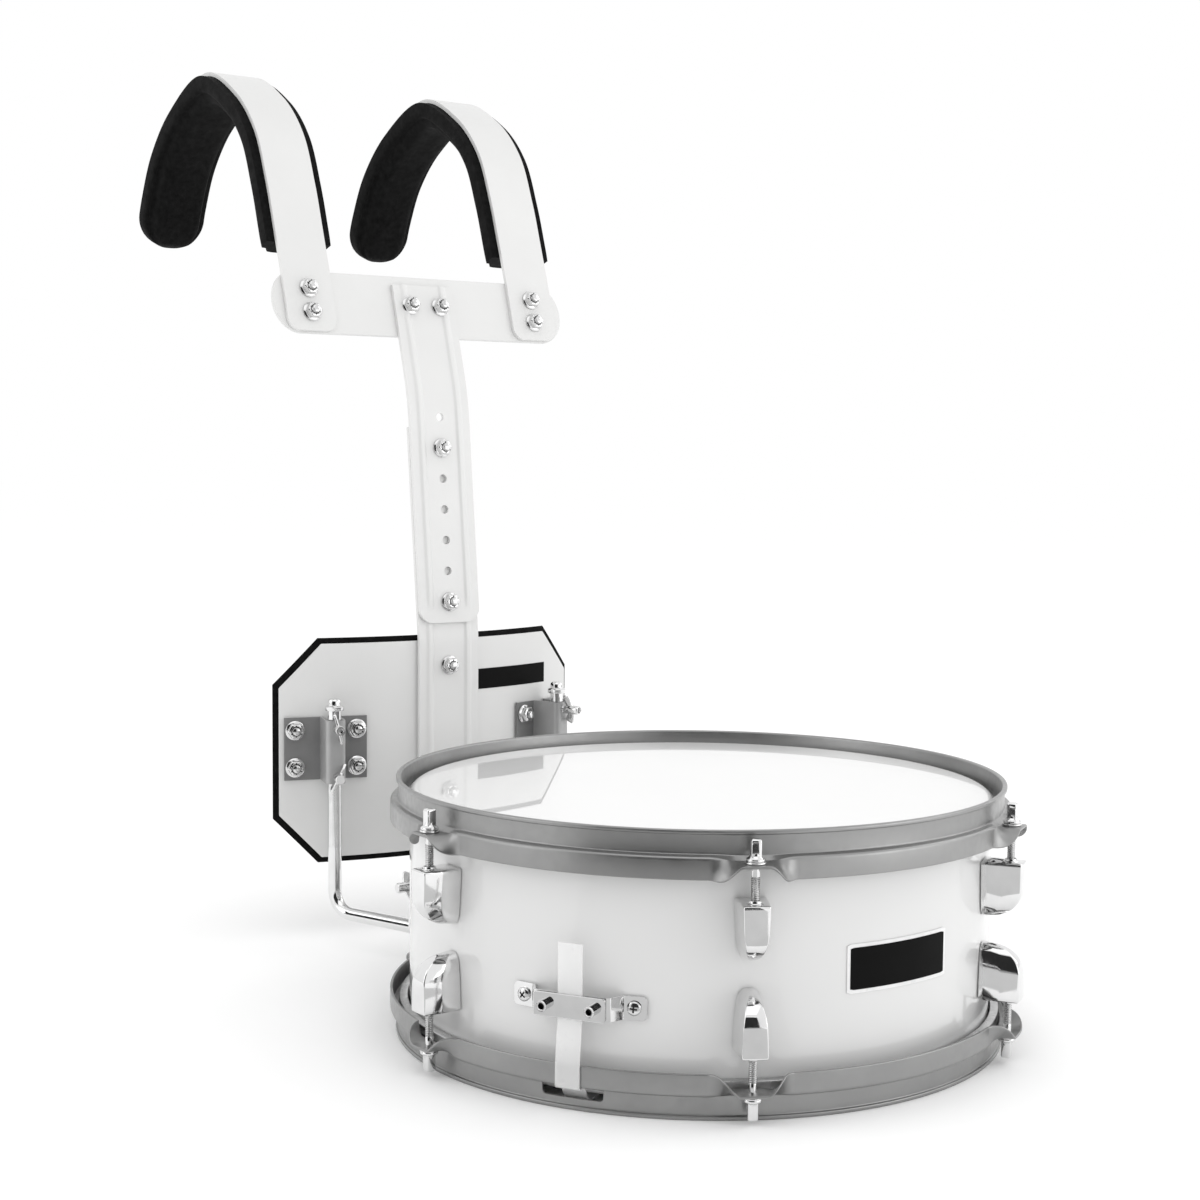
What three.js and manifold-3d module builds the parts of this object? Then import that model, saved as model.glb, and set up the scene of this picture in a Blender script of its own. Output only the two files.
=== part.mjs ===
// A 14 inch marching snare drum hung on a shoulder carrier by two bent rods.
// Millimetres, +Z up. The drum's front faces -Y and the player stands at +Y.
// Azimuths are degrees round the drum's axis from the front, positive towards +X.

import * as THREE from 'three';
import { mergeGeometries, mergeVertices } from 'three/addons/utils/BufferGeometryUtils.js';
import Module from 'manifold-3d';

const wasm = await Module();
wasm.setup();

// Clearances and overruns
const seat = 0.3;
const touch = 0.1;
const overrun = 4;

// Facets: counts, not sizes
const ringSteps = 60;
const headSteps = 48;
const tubeSides = 10;
const smallSides = 8;
const hookSteps = 26;
const hexSides = 6;
const squareSides = 4;
const turnedSides = 12;
const bendSteps = 5;
const badgeSteps = 4;
const endCurveSteps = 10;
const foamSteps = 2;
const foamLongSteps = 6;

// Shell and heads
const shellRadius = 176.5;
const shellWall = 6;
const shellDepth = 139.7;
const edgeRound = 2;
const edgeCut = 4;
const headRecess = 7.65;
const filmThickness = 0.3;
const headGap = 1;
const fleshWidth = 4.9;
const fleshHeight = 5.5;
const fleshBevel = 1;

// Counter hoops, rolled and pressed from sheet
const hoopSheet = 1.6;
const collarGap = 5.2;
const lipOut = 1.5;
const lipHeight = 2.4;
const collarHeight = 13.4;
const skirtGap = 4;
const skirtDrop = 12.6;
const earDrop = 2.8;
const earReach = 13.3;
const earShift = 2.4;
const earHalfWidth = 6.4;
const earBlend = 18;
const slotWidth = 36;
const slotHeight = 7.4;
const slotTop = 13.5;

// Tension rods, washers and swivel nuts
const rodStandOff = 3.9;
const rodRadius = 2.4;
const rodHole = 3;
const washerRadius = 5.6;
const washerHeight = 1.2;
const rodCollarRadius = 5.1;
const rodCollarHeight = 2.9;
const rodNeckRadius = 3.6;
const keySquare = 5.6;
const keyHeight = 8.8;
const rodEngage = 14;
const nutRadius = 4;
const nutBore = 2.95;
const nutDepth = 16;
const nutLip = 1.5;

// Lugs
const lugAzimuths = [-150, -90, -30, 30, 90, 150];
const lugEnd = 37;
const lugGap = 16;
const lugFront = 7.9;
const lugBaseHalf = 8.7;
const lugFaceHalf = 7.1;
const lugTipDepth = 4;
const lugTaperShare = 0.3;
const lugScrewDown = 12;

// Machine screws that hold the lugs and fittings from inside the shell
const screwRadius = 2;
const screwHole = 2.3;
const screwHeadRadius = 4;
const screwHeadHeight = 2.4;
const screwReach = 7;
const screwHeadGap = 0.6;

// Badge
const badgeHalfAngle = 12;
const badgeHeight = 27;
const badgeThickness = 0.8;
const badgeMiddle = 75.7;

// Snare wires
const wireInset = 36.5;
const wireCount = 16;
const wirePitch = 2.6;
const wireThickness = 1.6;
const wirePlateLength = 13;
const wirePlateMargin = 2;

// Snare straps
const strapWidth = 14.4;
const strapThickness = 0.5;
const strapBelow = 1.3;
const strapOut = 0.9;
const strapUnder = 0.6;
const strapHold = 9.8;
const strapTop = 91;

// Butt clamp on the front left of the shell
const buttAzimuth = -60;
const buttMiddle = 57;
const buttHeight = 13;
const buttSheet = 1.5;
const buttBridge = 8;
const buttBridgeHalf = 21;
const buttTabIn = 26;
const buttTabOut = 39;
const tabGap = 0.5;
const buttScrewReach = 32.2;
const clampScrewReach = 13.9;
const clampScrewRadius = 3;
const clampScrewLength = 5.5;

// Strainer on the back right of the shell
const strainerAzimuth = 120;
const strainerMiddle = 66;
const strainerPlateHalf = 14;
const strainerPlateHeight = 62;
const strainerSheet = 2;
const cheekInside = 10.6;
const cheekReach = 17;
const cheekLow = -22;
const cheekHigh = 24;
const slideHalfWidth = 10.2;
const slideLow = -14;
const slideHigh = 9;
const slideBack = 3;
const slideFront = 14.4;
const slideSlotHalf = 7.9;
const slideSlotGap = 0.5;
const slideScrewReach = 5.2;
const slideScrewRadius = 1.5;
const slideScrewHeadRadius = 3;
const slideScrewHeadHeight = 2.2;
const leverPivotZ = 16;
const leverPivotOut = 10;
const leverPinRadius = 2;
const leverSheet = 2;
const leverArmHalf = 5;
const leverLength = 34;
const leverFrontOut = 20;
const leverFaceDrop = 9;
const leverTabLength = 14;
const leverTabKick = 6;
const leverTabShare = 0.75;
const knobRadius = 6.5;
const knobHeight = 8;
const knobStem = 2;
const knobChamfer = 0.8;
const strainerScrewZ = 27;

// Hanger rods, left and right
const hangerX = 94.5;
const hangerReach = 113.5;
const hangerRadius = 4.75;
const hangerTop = 176;
const hangerChamfer = 1.9;
const hangerArmZ = 25;
const hangerBend = 18;
const hangerRingZ = 167.5;
const hangerRingHeight = 3;
const hangerRingRadius = 6.8;
const socketX = 68;
const socketReach = 41.125;
const socketRodTop = 78;

// Rod sockets on the back of the shell
const socketLow = 44;
const socketHeight = 38;
const socketWall = 3;
const socketPlateHalf = 15;
const socketScrewShare = 0.17;
const socketPlate = 3;
const socketNeckHalf = 5;
const socketScrewZ = 57;
const socketScrewProud = 4;
const rodClearance = 0.5;

// Wing screws
const wingScrewRadius = 3;
const wingHubRadius = 3.4;
const wingHubLength = 13;
const wingSpan = 22;
const wingWidth = 6.5;
const wingThickness = 2.2;
const wingTilt = 0.45;
const wingCollarGap = 1.2;
const socketWingRolls = { left: 30, right: 12 };
const bracketWingRolls = { left: [-14, 27], right: [16, -20] };

// Belly plate and its foam
const plateRadius = 300;
const plateBehind = 4;
const plateSheet = 2;
const plateHalfWidth = 122.5;
const plateLow = 60;
const plateHigh = 212.5;
const plateCornerWide = 28;
const plateCornerHigh = 31;
const plateSteps = 14;
const foamMargin = 4;
const cornerMarginShare = 0.6;
const foamEdge = 4.5;
const foamCrown = 12;

// Rod brackets, pressed hat sections on the belly plate
const bracketSheet = 1.8;
const bracketMiddle = 138.7;
const bracketHeight = 44.5;
const bracketHalfWidth = 29.5;
const bracketShift = 3;
const bracketScrewPitch = 34;
const bracketBoltWide = 22;
const bracketBoltHigh = 13.2;

// Mast: lower and upper strips with pressed ribs
const mastWidth = 50;
const mastSheet = 2.8;
const ribOffset = 16;
const ribWidth = 6;
const ribSlope = 1.5;
const ribHeight = 1.2;
const lowerMastLow = 72;
const lowerMastBelow = 22;
const mastBendLow = 213;
const mastLean = 6;
const upperMastLow = 225;
const mastBendHigh = 388;
const mastTopLean = 16.5;
const mastTopAbove = 16;
const topBendHalf = 19;
const topBendShare = 0.25;
const mastHolePitch = 22.2;
const mastHoleRadius = 3.1;
const firstHoleZ = 240;
const mastTravel = 5;
const mastSlotSpare = 1;
const bellyBoltHigh = 194;
const bellyBoltLow = 92;
const mastEndRound = 9;
const endRoundShare = 0.33;

// Crossbar and shoulder straps
const crossbarAbove = 65;
const crossbarHalf = 121.6;
const crossbarHeight = 46;
const crossbarSheet = 3;
const crossbarEndRadius = 20;
const mastTopBoltReach = 12.5;
const hookX = 94;
const hookWidth = 38;
const hookSheet = 3;
const hookBoltHigh = 9;
const hookBoltLow = -8.5;
const hookBelow = 22;
const hookEndRound = 9;

// Outer line of a shoulder strap behind the crossbar's middle: back, up
const hookLine = [
  [17, 54],
  [28.5, 87],
  [46, 124],
  [78, 154],
  [127, 174],
  [180, 154],
  [215, 125],
  [235, 92],
  [245, 65],
];

// Shoulder pads
const padHalf = 25.5;
const padEdge = 11.5;
const padCrown = 19;
const padFrontZ = 40;
const padBackOver = 8;
const padRoundLength = 24;
const padTipShare = 0.22;
const padRoundShares = [0, 0.45, 0.75, 0.93, 1];

// Bolts and flange nuts
const boltRadius = 3;
const nutAcross = 5.8;
const nutHeight = 6;
const nutFlange = 6.9;
const nutFlangeHeight = 1.3;
const boltProud = 2.6;
const boltHeadRadius = 5;
const boltHeadHeight = 1.9;

// Materials
function finish(colour, roughness, metalness) {
  return new THREE.MeshStandardMaterial({ color: colour, roughness, metalness });
}

const materials = {
  lacquer: finish(0xf1f1f0, 0.15, 0),
  film: finish(0xf7f7f6, 0.2, 0),
  hoop: finish(0x8b8b8a, 0.35, 0.8),
  chrome: finish(0xd9d9d8, 0.08, 1),
  steel: finish(0xb9b9b6, 0.3, 1),
  strap: finish(0xe8e8e6, 0.3, 0),
  badge: finish(0x101010, 0.3, 0),
  bracket: finish(0x77787a, 0.4, 0.8),
  powder: finish(0xe4e4e2, 0.4, 0),
  foam: finish(0x111111, 0.9, 0),
};

// Turning solids inside out where their faces point in
function signedVolume(geometry) {
  const position = geometry.attributes.position;
  const index = geometry.index;
  const a = new THREE.Vector3();
  const b = new THREE.Vector3();
  const c = new THREE.Vector3();
  let total = 0;
  for (let i = 0; i < index.count; i += 3) {
    a.fromBufferAttribute(position, index.getX(i));
    b.fromBufferAttribute(position, index.getX(i + 1));
    c.fromBufferAttribute(position, index.getX(i + 2));
    total += a.dot(b.cross(c));
  }
  return total;
}

function welded(geometry) {
  const plain = geometry.clone();
  for (const name of Object.keys(plain.attributes)) {
    if (name !== 'position') plain.deleteAttribute(name);
  }
  const merged = mergeVertices(plain);
  const kept = [];
  const index = merged.index;
  for (let i = 0; i < index.count; i += 3) {
    const corner = [index.getX(i), index.getX(i + 1), index.getX(i + 2)];
    if (new Set(corner).size === 3) kept.push(...corner);
  }
  merged.setIndex(kept);
  return merged;
}

function outward(geometry) {
  const plain = welded(geometry);
  if (signedVolume(plain) < 0) {
    const index = plain.index;
    for (let i = 0; i < index.count; i += 3) {
      const swap = index.getX(i);
      index.setX(i, index.getX(i + 1));
      index.setX(i + 1, swap);
    }
  }
  return plain;
}

// Cutting and joining
function toSolid(geometry) {
  const plain = outward(geometry);
  return new wasm.Manifold(new wasm.Mesh({
    numProp: 3,
    vertProperties: new Float32Array(plain.attributes.position.array),
    triVerts: new Uint32Array(plain.index.array),
  }));
}

function toGeometry(solid) {
  const mesh = solid.getMesh();
  const geometry = new THREE.BufferGeometry();
  geometry.setAttribute('position', new THREE.BufferAttribute(mesh.vertProperties, 3));
  geometry.setIndex([...mesh.triVerts]);
  return geometry;
}

function cut(geometry, tools) {
  let solid = toSolid(geometry);
  for (const tool of tools) solid = solid.subtract(toSolid(tool));
  return toGeometry(solid);
}

function join(pieces) {
  let solid = toSolid(pieces[0]);
  for (const piece of pieces.slice(1)) solid = solid.add(toSolid(piece));
  return toGeometry(solid);
}

function common(geometry, tool) {
  return toGeometry(toSolid(geometry).intersect(toSolid(tool)));
}

// Basic forms
function box(x0, x1, y0, y1, z0, z1) {
  const form = new THREE.BoxGeometry(x1 - x0, y1 - y0, z1 - z0);
  return form.translate((x0 + x1) / 2, (y0 + y1) / 2, (z0 + z1) / 2);
}

function turned(profile, sides) {
  const points = profile.map(([r, z]) => new THREE.Vector2(r, z));
  const onAxis = profile[0][0] === 0 && profile[profile.length - 1][0] === 0;
  if (!onAxis) points.push(points[0].clone());
  return outward(new THREE.LatheGeometry(points, sides).rotateX(Math.PI / 2));
}

function bar(radius, from, to, sides = smallSides) {
  const start = new THREE.Vector3(...from);
  const way = new THREE.Vector3(...to).sub(start);
  const form = new THREE.CylinderGeometry(radius, radius, way.length(), sides);
  form.rotateX(Math.PI / 2).translate(0, 0, way.length() / 2);
  const turn = new THREE.Quaternion().setFromUnitVectors(new THREE.Vector3(0, 0, 1), way.normalize());
  return form.applyQuaternion(turn).translate(start.x, start.y, start.z);
}

function shapeOf(points) {
  return new THREE.Shape(points.map(([x, y]) => new THREE.Vector2(x, y)));
}

function alongZ(points, low, high) {
  const form = new THREE.ExtrudeGeometry(shapeOf(points), { depth: high - low, bevelEnabled: false });
  return form.translate(0, 0, low);
}

function alongY(points, near, far) {
  const form = new THREE.ExtrudeGeometry(shapeOf(points), { depth: far - near, bevelEnabled: false });
  return form.rotateX(Math.PI / 2).translate(0, far, 0);
}

// A bent strip of sheet: the outline of a line thickened to its left
function ribbon(line, thickness) {
  const points = line.map(([x, y]) => new THREE.Vector2(x, y));
  const normal = (a, b) => new THREE.Vector2(a.y - b.y, b.x - a.x).normalize();
  const far = points.map((point, i) => {
    const before = normal(points[Math.max(i - 1, 0)], points[Math.max(i, 1)]);
    const last = points.length - 1;
    const after = normal(points[Math.min(i, last - 1)], points[Math.min(i + 1, last)]);
    const middle = before.clone().add(after).normalize();
    return point.clone().addScaledVector(middle, thickness / middle.dot(before));
  });
  return [...points, ...far.reverse()].map((point) => [point.x, point.y]);
}

// A solid from equal rings of points, closed at both ends or joined into a loop
function loft(rings, looped = false) {
  const count = rings[0].length;
  const position = rings.flat().flatMap((point) => [point.x, point.y, point.z]);
  const index = [];
  const pairs = looped ? rings.length : rings.length - 1;
  for (let i = 0; i < pairs; i += 1) {
    const here = i * count;
    const next = ((i + 1) % rings.length) * count;
    for (let j = 0; j < count; j += 1) {
      const k = (j + 1) % count;
      index.push(here + j, here + k, next + k, here + j, next + k, next + j);
    }
  }
  if (!looped) {
    const last = (rings.length - 1) * count;
    for (const [a, b, c] of capTriangles(rings[0])) index.push(a, c, b);
    for (const [a, b, c] of capTriangles(rings[rings.length - 1])) {
      index.push(last + a, last + b, last + c);
    }
  }
  const geometry = new THREE.BufferGeometry();
  geometry.setAttribute('position', new THREE.Float32BufferAttribute(position, 3));
  geometry.setIndex(index);
  return outward(geometry);
}

function capTriangles(ring) {
  const normal = new THREE.Vector3();
  ring.forEach((point, i) => normal.add(point.clone().cross(ring[(i + 1) % ring.length])));
  normal.normalize();
  const turn = new THREE.Quaternion().setFromUnitVectors(normal, new THREE.Vector3(0, 0, 1));
  const flat = ring.map((point) => point.clone().applyQuaternion(turn));
  return THREE.ShapeUtils.triangulateShape(flat.map((point) => new THREE.Vector2(point.x, point.y)), []);
}

// Places round the drum
function radians(degrees) {
  return THREE.MathUtils.degToRad(degrees);
}

function polar(radius, azimuth, z) {
  const angle = radians(azimuth);
  return new THREE.Vector3(radius * Math.sin(angle), -radius * Math.cos(angle), z);
}

// From a fitting's own frame (x along the shell, y outward, z up) to its place on the shell
function onShell(geometry, azimuth, z = 0) {
  const place = polar(shellRadius, azimuth, z);
  return geometry.clone().rotateZ(Math.PI + radians(azimuth)).translate(place.x, place.y, place.z);
}

function flipped(geometry) {
  return outward(geometry.clone().scale(1, 1, -1).translate(0, 0, totalHeight));
}

function mirrored(geometry) {
  return outward(geometry.clone().scale(-1, 1, 1));
}

// Derived levels and radii
const totalHeight = shellDepth + 2 * headRecess;
const shellLow = headRecess;
const shellHigh = headRecess + shellDepth;
const filmOuter = shellRadius + headGap + filmThickness;
const lugLength = (totalHeight - lugGap) / 2 - lugEnd;
const fleshOuter = filmOuter + fleshWidth;
const fleshTop = collarHeight + hoopSheet + seat;
const collarInner = shellRadius + collarGap;
const collarOuter = collarInner + hoopSheet;
const skirtOuter = fleshOuter + skirtGap + hoopSheet;
const rodCircle = skirtOuter + rodStandOff;
const wireHalfLength = shellRadius - wireInset;
const earTop = collarHeight + earDrop;
const hangerY = shellRadius + hangerReach;
const plateFront = hangerY + plateBehind;
const socketY = Math.sqrt(shellRadius * shellRadius - socketX * socketX) + socketReach;
const rodOut = rodCircle - shellRadius;
const washerLow = earTop - touch - washerHeight;
const rodCollarLow = washerLow - touch;

// Shell and heads
function shell() {
  const inner = shellRadius - shellWall;
  const tube = turned([
    [inner, shellLow + edgeCut],
    [shellRadius - edgeRound, shellLow],
    [shellRadius, shellLow + edgeRound],
    [shellRadius, shellHigh - edgeRound],
    [shellRadius - edgeRound, shellHigh],
    [inner, shellHigh - edgeCut],
  ], ringSteps);
  return cut(tube, shellScrewPlaces().map(({ azimuth, z }) => onShell(
    bar(screwHole, [0, -shellWall - overrun, 0], [0, overrun, 0], hexSides), azimuth, z)));
}

// Drumhead: film crimped into its flesh hoop
function head() {
  const outside = shellLow - seat - filmThickness;
  const inside = shellLow - seat;
  const bottom = fleshTop + fleshHeight;
  return turned([
    [0, outside],
    [shellRadius - edgeRound, outside],
    [filmOuter, outside + edgeRound],
    [filmOuter, fleshTop],
    [fleshOuter - fleshBevel, fleshTop],
    [fleshOuter, fleshTop + fleshBevel],
    [fleshOuter, bottom],
    [filmOuter - filmThickness, bottom],
    [filmOuter - filmThickness, inside + edgeRound],
    [shellRadius - edgeRound, inside],
    [0, inside],
  ], headSteps);
}

// Counter hoop: its skirt turns out into a flat ear at each rod
function hoopSection(ear) {
  const angle = ear * Math.PI / 2;
  const along = new THREE.Vector2(Math.sin(angle), Math.cos(angle));
  const under = new THREE.Vector2(-Math.cos(angle), Math.sin(angle));
  const shoulder = new THREE.Vector2(skirtOuter - earShift * ear, collarHeight + earDrop * ear);
  const reach = THREE.MathUtils.lerp(skirtDrop, earReach, ear);
  const tip = shoulder.clone().addScaledVector(along, reach);
  const tipUnder = tip.clone().addScaledVector(under, hoopSheet);
  const inside = new THREE.Vector2(shoulder.x - hoopSheet * (1 - ear), shoulder.y + hoopSheet);
  return [
    [collarInner, 0],
    [collarOuter + lipOut, 0],
    [collarOuter + lipOut, lipHeight],
    [collarOuter, lipHeight],
    [collarOuter, collarHeight],
    [shoulder.x, shoulder.y],
    [tip.x, tip.y],
    [tipUnder.x, tipUnder.y],
    [inside.x, inside.y],
    [collarInner, collarHeight + hoopSheet],
  ];
}

function hoopAngles() {
  const flat = THREE.MathUtils.radToDeg(earHalfWidth / rodCircle);
  const blend = THREE.MathUtils.radToDeg(earBlend / rodCircle);
  const blendShares = [1, 0.65, 0.3];
  const wideShares = [0, 0.5];
  const half = 180 / lugAzimuths.length;
  const steps = [];
  for (const share of wideShares) {
    steps.push([-half + share * (half - flat - blend), 0]);
  }
  for (const share of blendShares) {
    steps.push([-flat - share * blend, THREE.MathUtils.smoothstep(1 - share, 0, 1)]);
  }
  steps.push([-flat, 1]);
  const mirror = steps.slice(1).reverse().map(([angle, ear]) => [-angle, ear]);
  return [...steps, ...mirror];
}

function counterHoop() {
  const rings = [];
  for (const rod of lugAzimuths) {
    for (const [angle, ear] of hoopAngles()) {
      rings.push(hoopSection(ear).map(([r, z]) => polar(r, rod + angle, z)));
    }
  }
  const holes = lugAzimuths.map((azimuth) => {
    const low = polar(rodCircle, azimuth, earTop - overrun);
    const high = polar(rodCircle, azimuth, earTop + overrun);
    return bar(rodHole, low.toArray(), high.toArray());
  });
  return cut(loft(rings, true), holes);
}

function snareHoop() {
  const slots = [buttAzimuth, strainerAzimuth].map((azimuth) => onShell(
    box(-slotWidth / 2, slotWidth / 2, headGap, skirtOuter - shellRadius - hoopSheet,
      slotTop - slotHeight, slotTop), azimuth));
  return cut(counterHoop(), slots);
}

// Lug: a cast block whose face rounds back to the shell at one end
function lugRing(share) {
  const full = rodOut + lugFront - seat;
  const bend = Math.max(0, 2 * share - 1);
  const depth = lugTipDepth + (full - lugTipDepth) * Math.sqrt(1 - bend * bend);
  const base = lugBaseHalf * (1 - lugTaperShare * share * share);
  const face = lugFaceHalf * (1 - lugTaperShare * share * share);
  const cornerShare = 0.82;
  const z = -share * lugLength;
  return [
    new THREE.Vector3(-base, seat, z),
    new THREE.Vector3(base, seat, z),
    new THREE.Vector3(face, seat + depth * cornerShare, z),
    new THREE.Vector3(face * cornerShare, seat + depth, z),
    new THREE.Vector3(-face * cornerShare, seat + depth, z),
    new THREE.Vector3(-face, seat + depth * cornerShare, z),
  ];
}

function lug() {
  const ringShares = [0, 0.5, 0.68, 0.82, 0.92, 0.98, 1];
  const lip = turned([[0, -nutLip], [nutRadius, -nutLip], [nutRadius, nutLip], [0, nutLip]], smallSides);
  const body = join([
    loft(ringShares.map(lugRing)),
    lip.translate(0, rodOut, 0),
    shellScrew(screwReach).translate(0, 0, -lugScrewDown),
  ]);
  return cut(body, [bar(nutBore, [0, rodOut, -nutDepth], [0, rodOut, overrun], hexSides)]);
}

// Tension rod with its washer, from below the washer's collar to the threaded end
function tensionRod() {
  const length = lugEnd - rodCollarTop + rodEngage;
  const washer = rodCollarHeight + touch;
  const shank = turned([
    [0, 0],
    [rodNeckRadius, 0],
    [rodCollarRadius, rodCollarHeight / 2],
    [rodCollarRadius, rodCollarHeight],
    [washerRadius, washer],
    [washerRadius, washer + washerHeight],
    [rodRadius, washer + washerHeight],
    [rodRadius, length],
    [0, length],
  ], smallSides);
  const half = keySquare / 2;
  return join([shank, box(-half, half, -half, half, -keyHeight, rodCollarHeight / 2)]);
}

const rodCollarTop = rodCollarLow - rodCollarHeight;

// Machine screws with their heads inside the shell
function shellScrewPlaces() {
  const places = [];
  for (const azimuth of lugAzimuths) {
    places.push({ azimuth, z: lugEnd + lugScrewDown });
    places.push({ azimuth, z: totalHeight - lugEnd - lugScrewDown });
  }
  for (const side of [-1, 1]) {
    for (const z of socketScrewLevels()) places.push({ azimuth: side * socketAzimuth, z });
    places.push({ azimuth: strainerAzimuth, z: strainerMiddle + side * strainerScrewZ });
    places.push({ azimuth: buttAzimuth + side * buttScrewTurn, z: buttMiddle });
  }
  return places;
}

const socketAzimuth = THREE.MathUtils.radToDeg(Math.atan2(socketX, -socketY));
const buttScrewTurn = THREE.MathUtils.radToDeg(buttScrewReach / shellRadius);

function socketScrewLevels() {
  const inset = socketHeight * socketScrewShare;
  return [socketLow + inset, socketLow + socketHeight - inset];
}

function shellScrew(reach) {
  const inner = -shellWall - screwHeadGap;
  return turned([
    [0, inner - screwHeadHeight],
    [screwHeadRadius, inner - screwHeadHeight],
    [screwHeadRadius, inner],
    [screwRadius, inner],
    [screwRadius, reach],
    [0, reach],
  ], hexSides).rotateX(-Math.PI / 2);
}

// Badge: a bare curved plate
function badge() {
  const rings = [];
  const inner = shellRadius + touch;
  for (let i = 0; i <= badgeSteps; i += 1) {
    const azimuth = THREE.MathUtils.lerp(-badgeHalfAngle, badgeHalfAngle, i / badgeSteps);
    const low = badgeMiddle - badgeHeight / 2;
    rings.push([
      polar(inner, azimuth, low),
      polar(inner + badgeThickness, azimuth, low),
      polar(inner + badgeThickness, azimuth, low + badgeHeight),
      polar(inner, azimuth, low + badgeHeight),
    ]);
  }
  return loft(rings);
}

// Snare wires: strands between two end plates, in a frame with x across the drum
const wireTop = shellLow - 2 * seat - filmThickness;

function snareWires() {
  const halfWide = wirePitch * (wireCount - 1) / 2 + wireThickness / 2 + wirePlateMargin;
  const low = wireTop - wireThickness;
  const pieces = [-1, 1].map((side) => {
    const a = side * wireHalfLength;
    const b = side * (wireHalfLength + wirePlateLength);
    return box(Math.min(a, b), Math.max(a, b), -halfWide, halfWide, low, wireTop);
  });
  for (let i = 0; i < wireCount; i += 1) {
    const y = wirePitch * (i - (wireCount - 1) / 2);
    pieces.push(bar(wireThickness / 2, [-wireHalfLength - touch, y, wireTop - wireThickness / 2],
      [wireHalfLength + touch, y, wireTop - wireThickness / 2], squareSides));
  }
  const across = radians(buttAzimuth) - Math.PI / 2;
  return join(pieces).rotateZ(across);
}

// Snare strap: from the wires out through the hoop's slot and up to its clamp
function snareStrap(top) {
  const low = wireTop - wireThickness - strapBelow;
  const line = [
    [wireHalfLength - shellRadius, low],
    [0, low],
    [collarGap + hoopSheet / 2, slotTop - strapUnder],
    [skirtOuter - shellRadius + strapOut, slotTop - strapUnder],
    [skirtOuter - shellRadius + strapOut, collarHeight + skirtDrop + touch],
    [strapHold, buttMiddle - buttHeight / 2 - touch],
    [strapHold, top],
  ];
  const strip = alongZ(ribbon(line, -strapThickness), -strapWidth / 2, strapWidth / 2);
  const basis = new THREE.Matrix4().makeBasis(
    new THREE.Vector3(0, 1, 0), new THREE.Vector3(0, 0, 1), new THREE.Vector3(1, 0, 0));
  return strip.applyMatrix4(basis);
}

// Butt clamp: a raised bracket, and a bar that pins the strap to it
function buttBracket() {
  const sink = (x) => Math.sqrt(shellRadius * shellRadius - x * x) - shellRadius + tabGap;
  const line = [
    [-buttTabOut, sink(buttTabOut)],
    [-buttTabIn, sink(buttTabIn)],
    [-buttBridgeHalf, buttBridge],
    [buttBridgeHalf, buttBridge],
    [buttTabIn, sink(buttTabIn)],
    [buttTabOut, sink(buttTabOut)],
  ];
  const strip = alongZ(ribbon(line, buttSheet), -buttHeight / 2, buttHeight / 2);
  const screws = [-1, 1].map((side) => {
    const face = seat + buttSheet;
    const pan = bar(screwHeadRadius, [0, face - touch, 0], [0, face + screwHeadHeight, 0]);
    const screw = join([pan, shellScrew(face)]);
    return screw.translate(0, shellRadius, 0).rotateZ(-radians(side * buttScrewTurn))
      .translate(0, -shellRadius, 0);
  });
  return cut(join([strip, ...screws]), buttScrewCuts());
}

function buttScrewCuts() {
  return [-1, 1].map((side) => bar(slideScrewRadius + seat,
    [side * clampScrewReach, buttBridge - overrun, 0],
    [side * clampScrewReach, buttBridge + overrun * 2, 0]));
}

const clampBack = strapHold + strapThickness + touch;

function buttClampBar() {
  const face = clampBack + buttSheet;
  const half = buttHeight / 2;
  const slab = box(-buttBridgeHalf, buttBridgeHalf, clampBack, face, -half, half);
  const screws = [-1, 1].flatMap((side) => {
    const x = side * clampScrewReach;
    return [
      bar(clampScrewRadius, [x, face - touch, 0], [x, face + clampScrewLength, 0]),
      bar(slideScrewRadius, [x, buttBridge - seat, 0], [x, face, 0]),
    ];
  });
  return join([slab, ...screws]);
}

// Strainer: base with cheeks, slide that grips the strap, throw lever and tension knob
const strainerBack = touch + seat;

function strainerBase() {
  const cheekOut = cheekInside + strainerSheet;
  const half = strainerPlateHeight / 2;
  const face = strainerBack + strainerSheet;
  const back = box(-strainerPlateHalf, strainerPlateHalf, strainerBack, face, -half, half);
  const cheeks = [-1, 1].map((side) => box(
    Math.min(side * cheekInside, side * cheekOut), Math.max(side * cheekInside, side * cheekOut),
    strainerBack + strainerSheet / 2, cheekReach, cheekLow, cheekHigh));
  const shelf = box(-cheekOut, cheekOut, strainerBack + strainerSheet / 2, cheekReach,
    cheekHigh - touch, cheekHigh + strainerSheet);
  const holes = [
    bar(leverPinRadius + seat, [-cheekOut - overrun, leverPivotOut, leverPivotZ],
      [cheekOut + overrun, leverPivotOut, leverPivotZ]),
    bar(knobStem + seat, [0, leverPivotOut, cheekHigh - overrun],
      [0, leverPivotOut, cheekHigh + overrun + strainerSheet]),
  ];
  const screws = [-1, 1].map((side) => shellScrew(strainerSheet).translate(0, 0, side * strainerScrewZ));
  return cut(join([back, ...cheeks, shelf, ...screws]), holes);
}

function strainerSlide() {
  const block = box(-slideHalfWidth, slideHalfWidth, slideBack, slideFront, slideLow, slideHigh);
  const slot = box(-slideSlotHalf, slideSlotHalf, strapHold - slideSlotGap,
    strapHold + strapThickness + slideSlotGap, slideLow - overrun, slideHigh + overrun);
  const screws = [-1, 1].map((side) => bar(slideScrewHeadRadius,
    [side * slideScrewReach, slideFront - touch, 0],
    [side * slideScrewReach, slideFront + slideScrewHeadHeight, 0]));
  return join([cut(block, [slot]), ...screws]);
}

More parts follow.
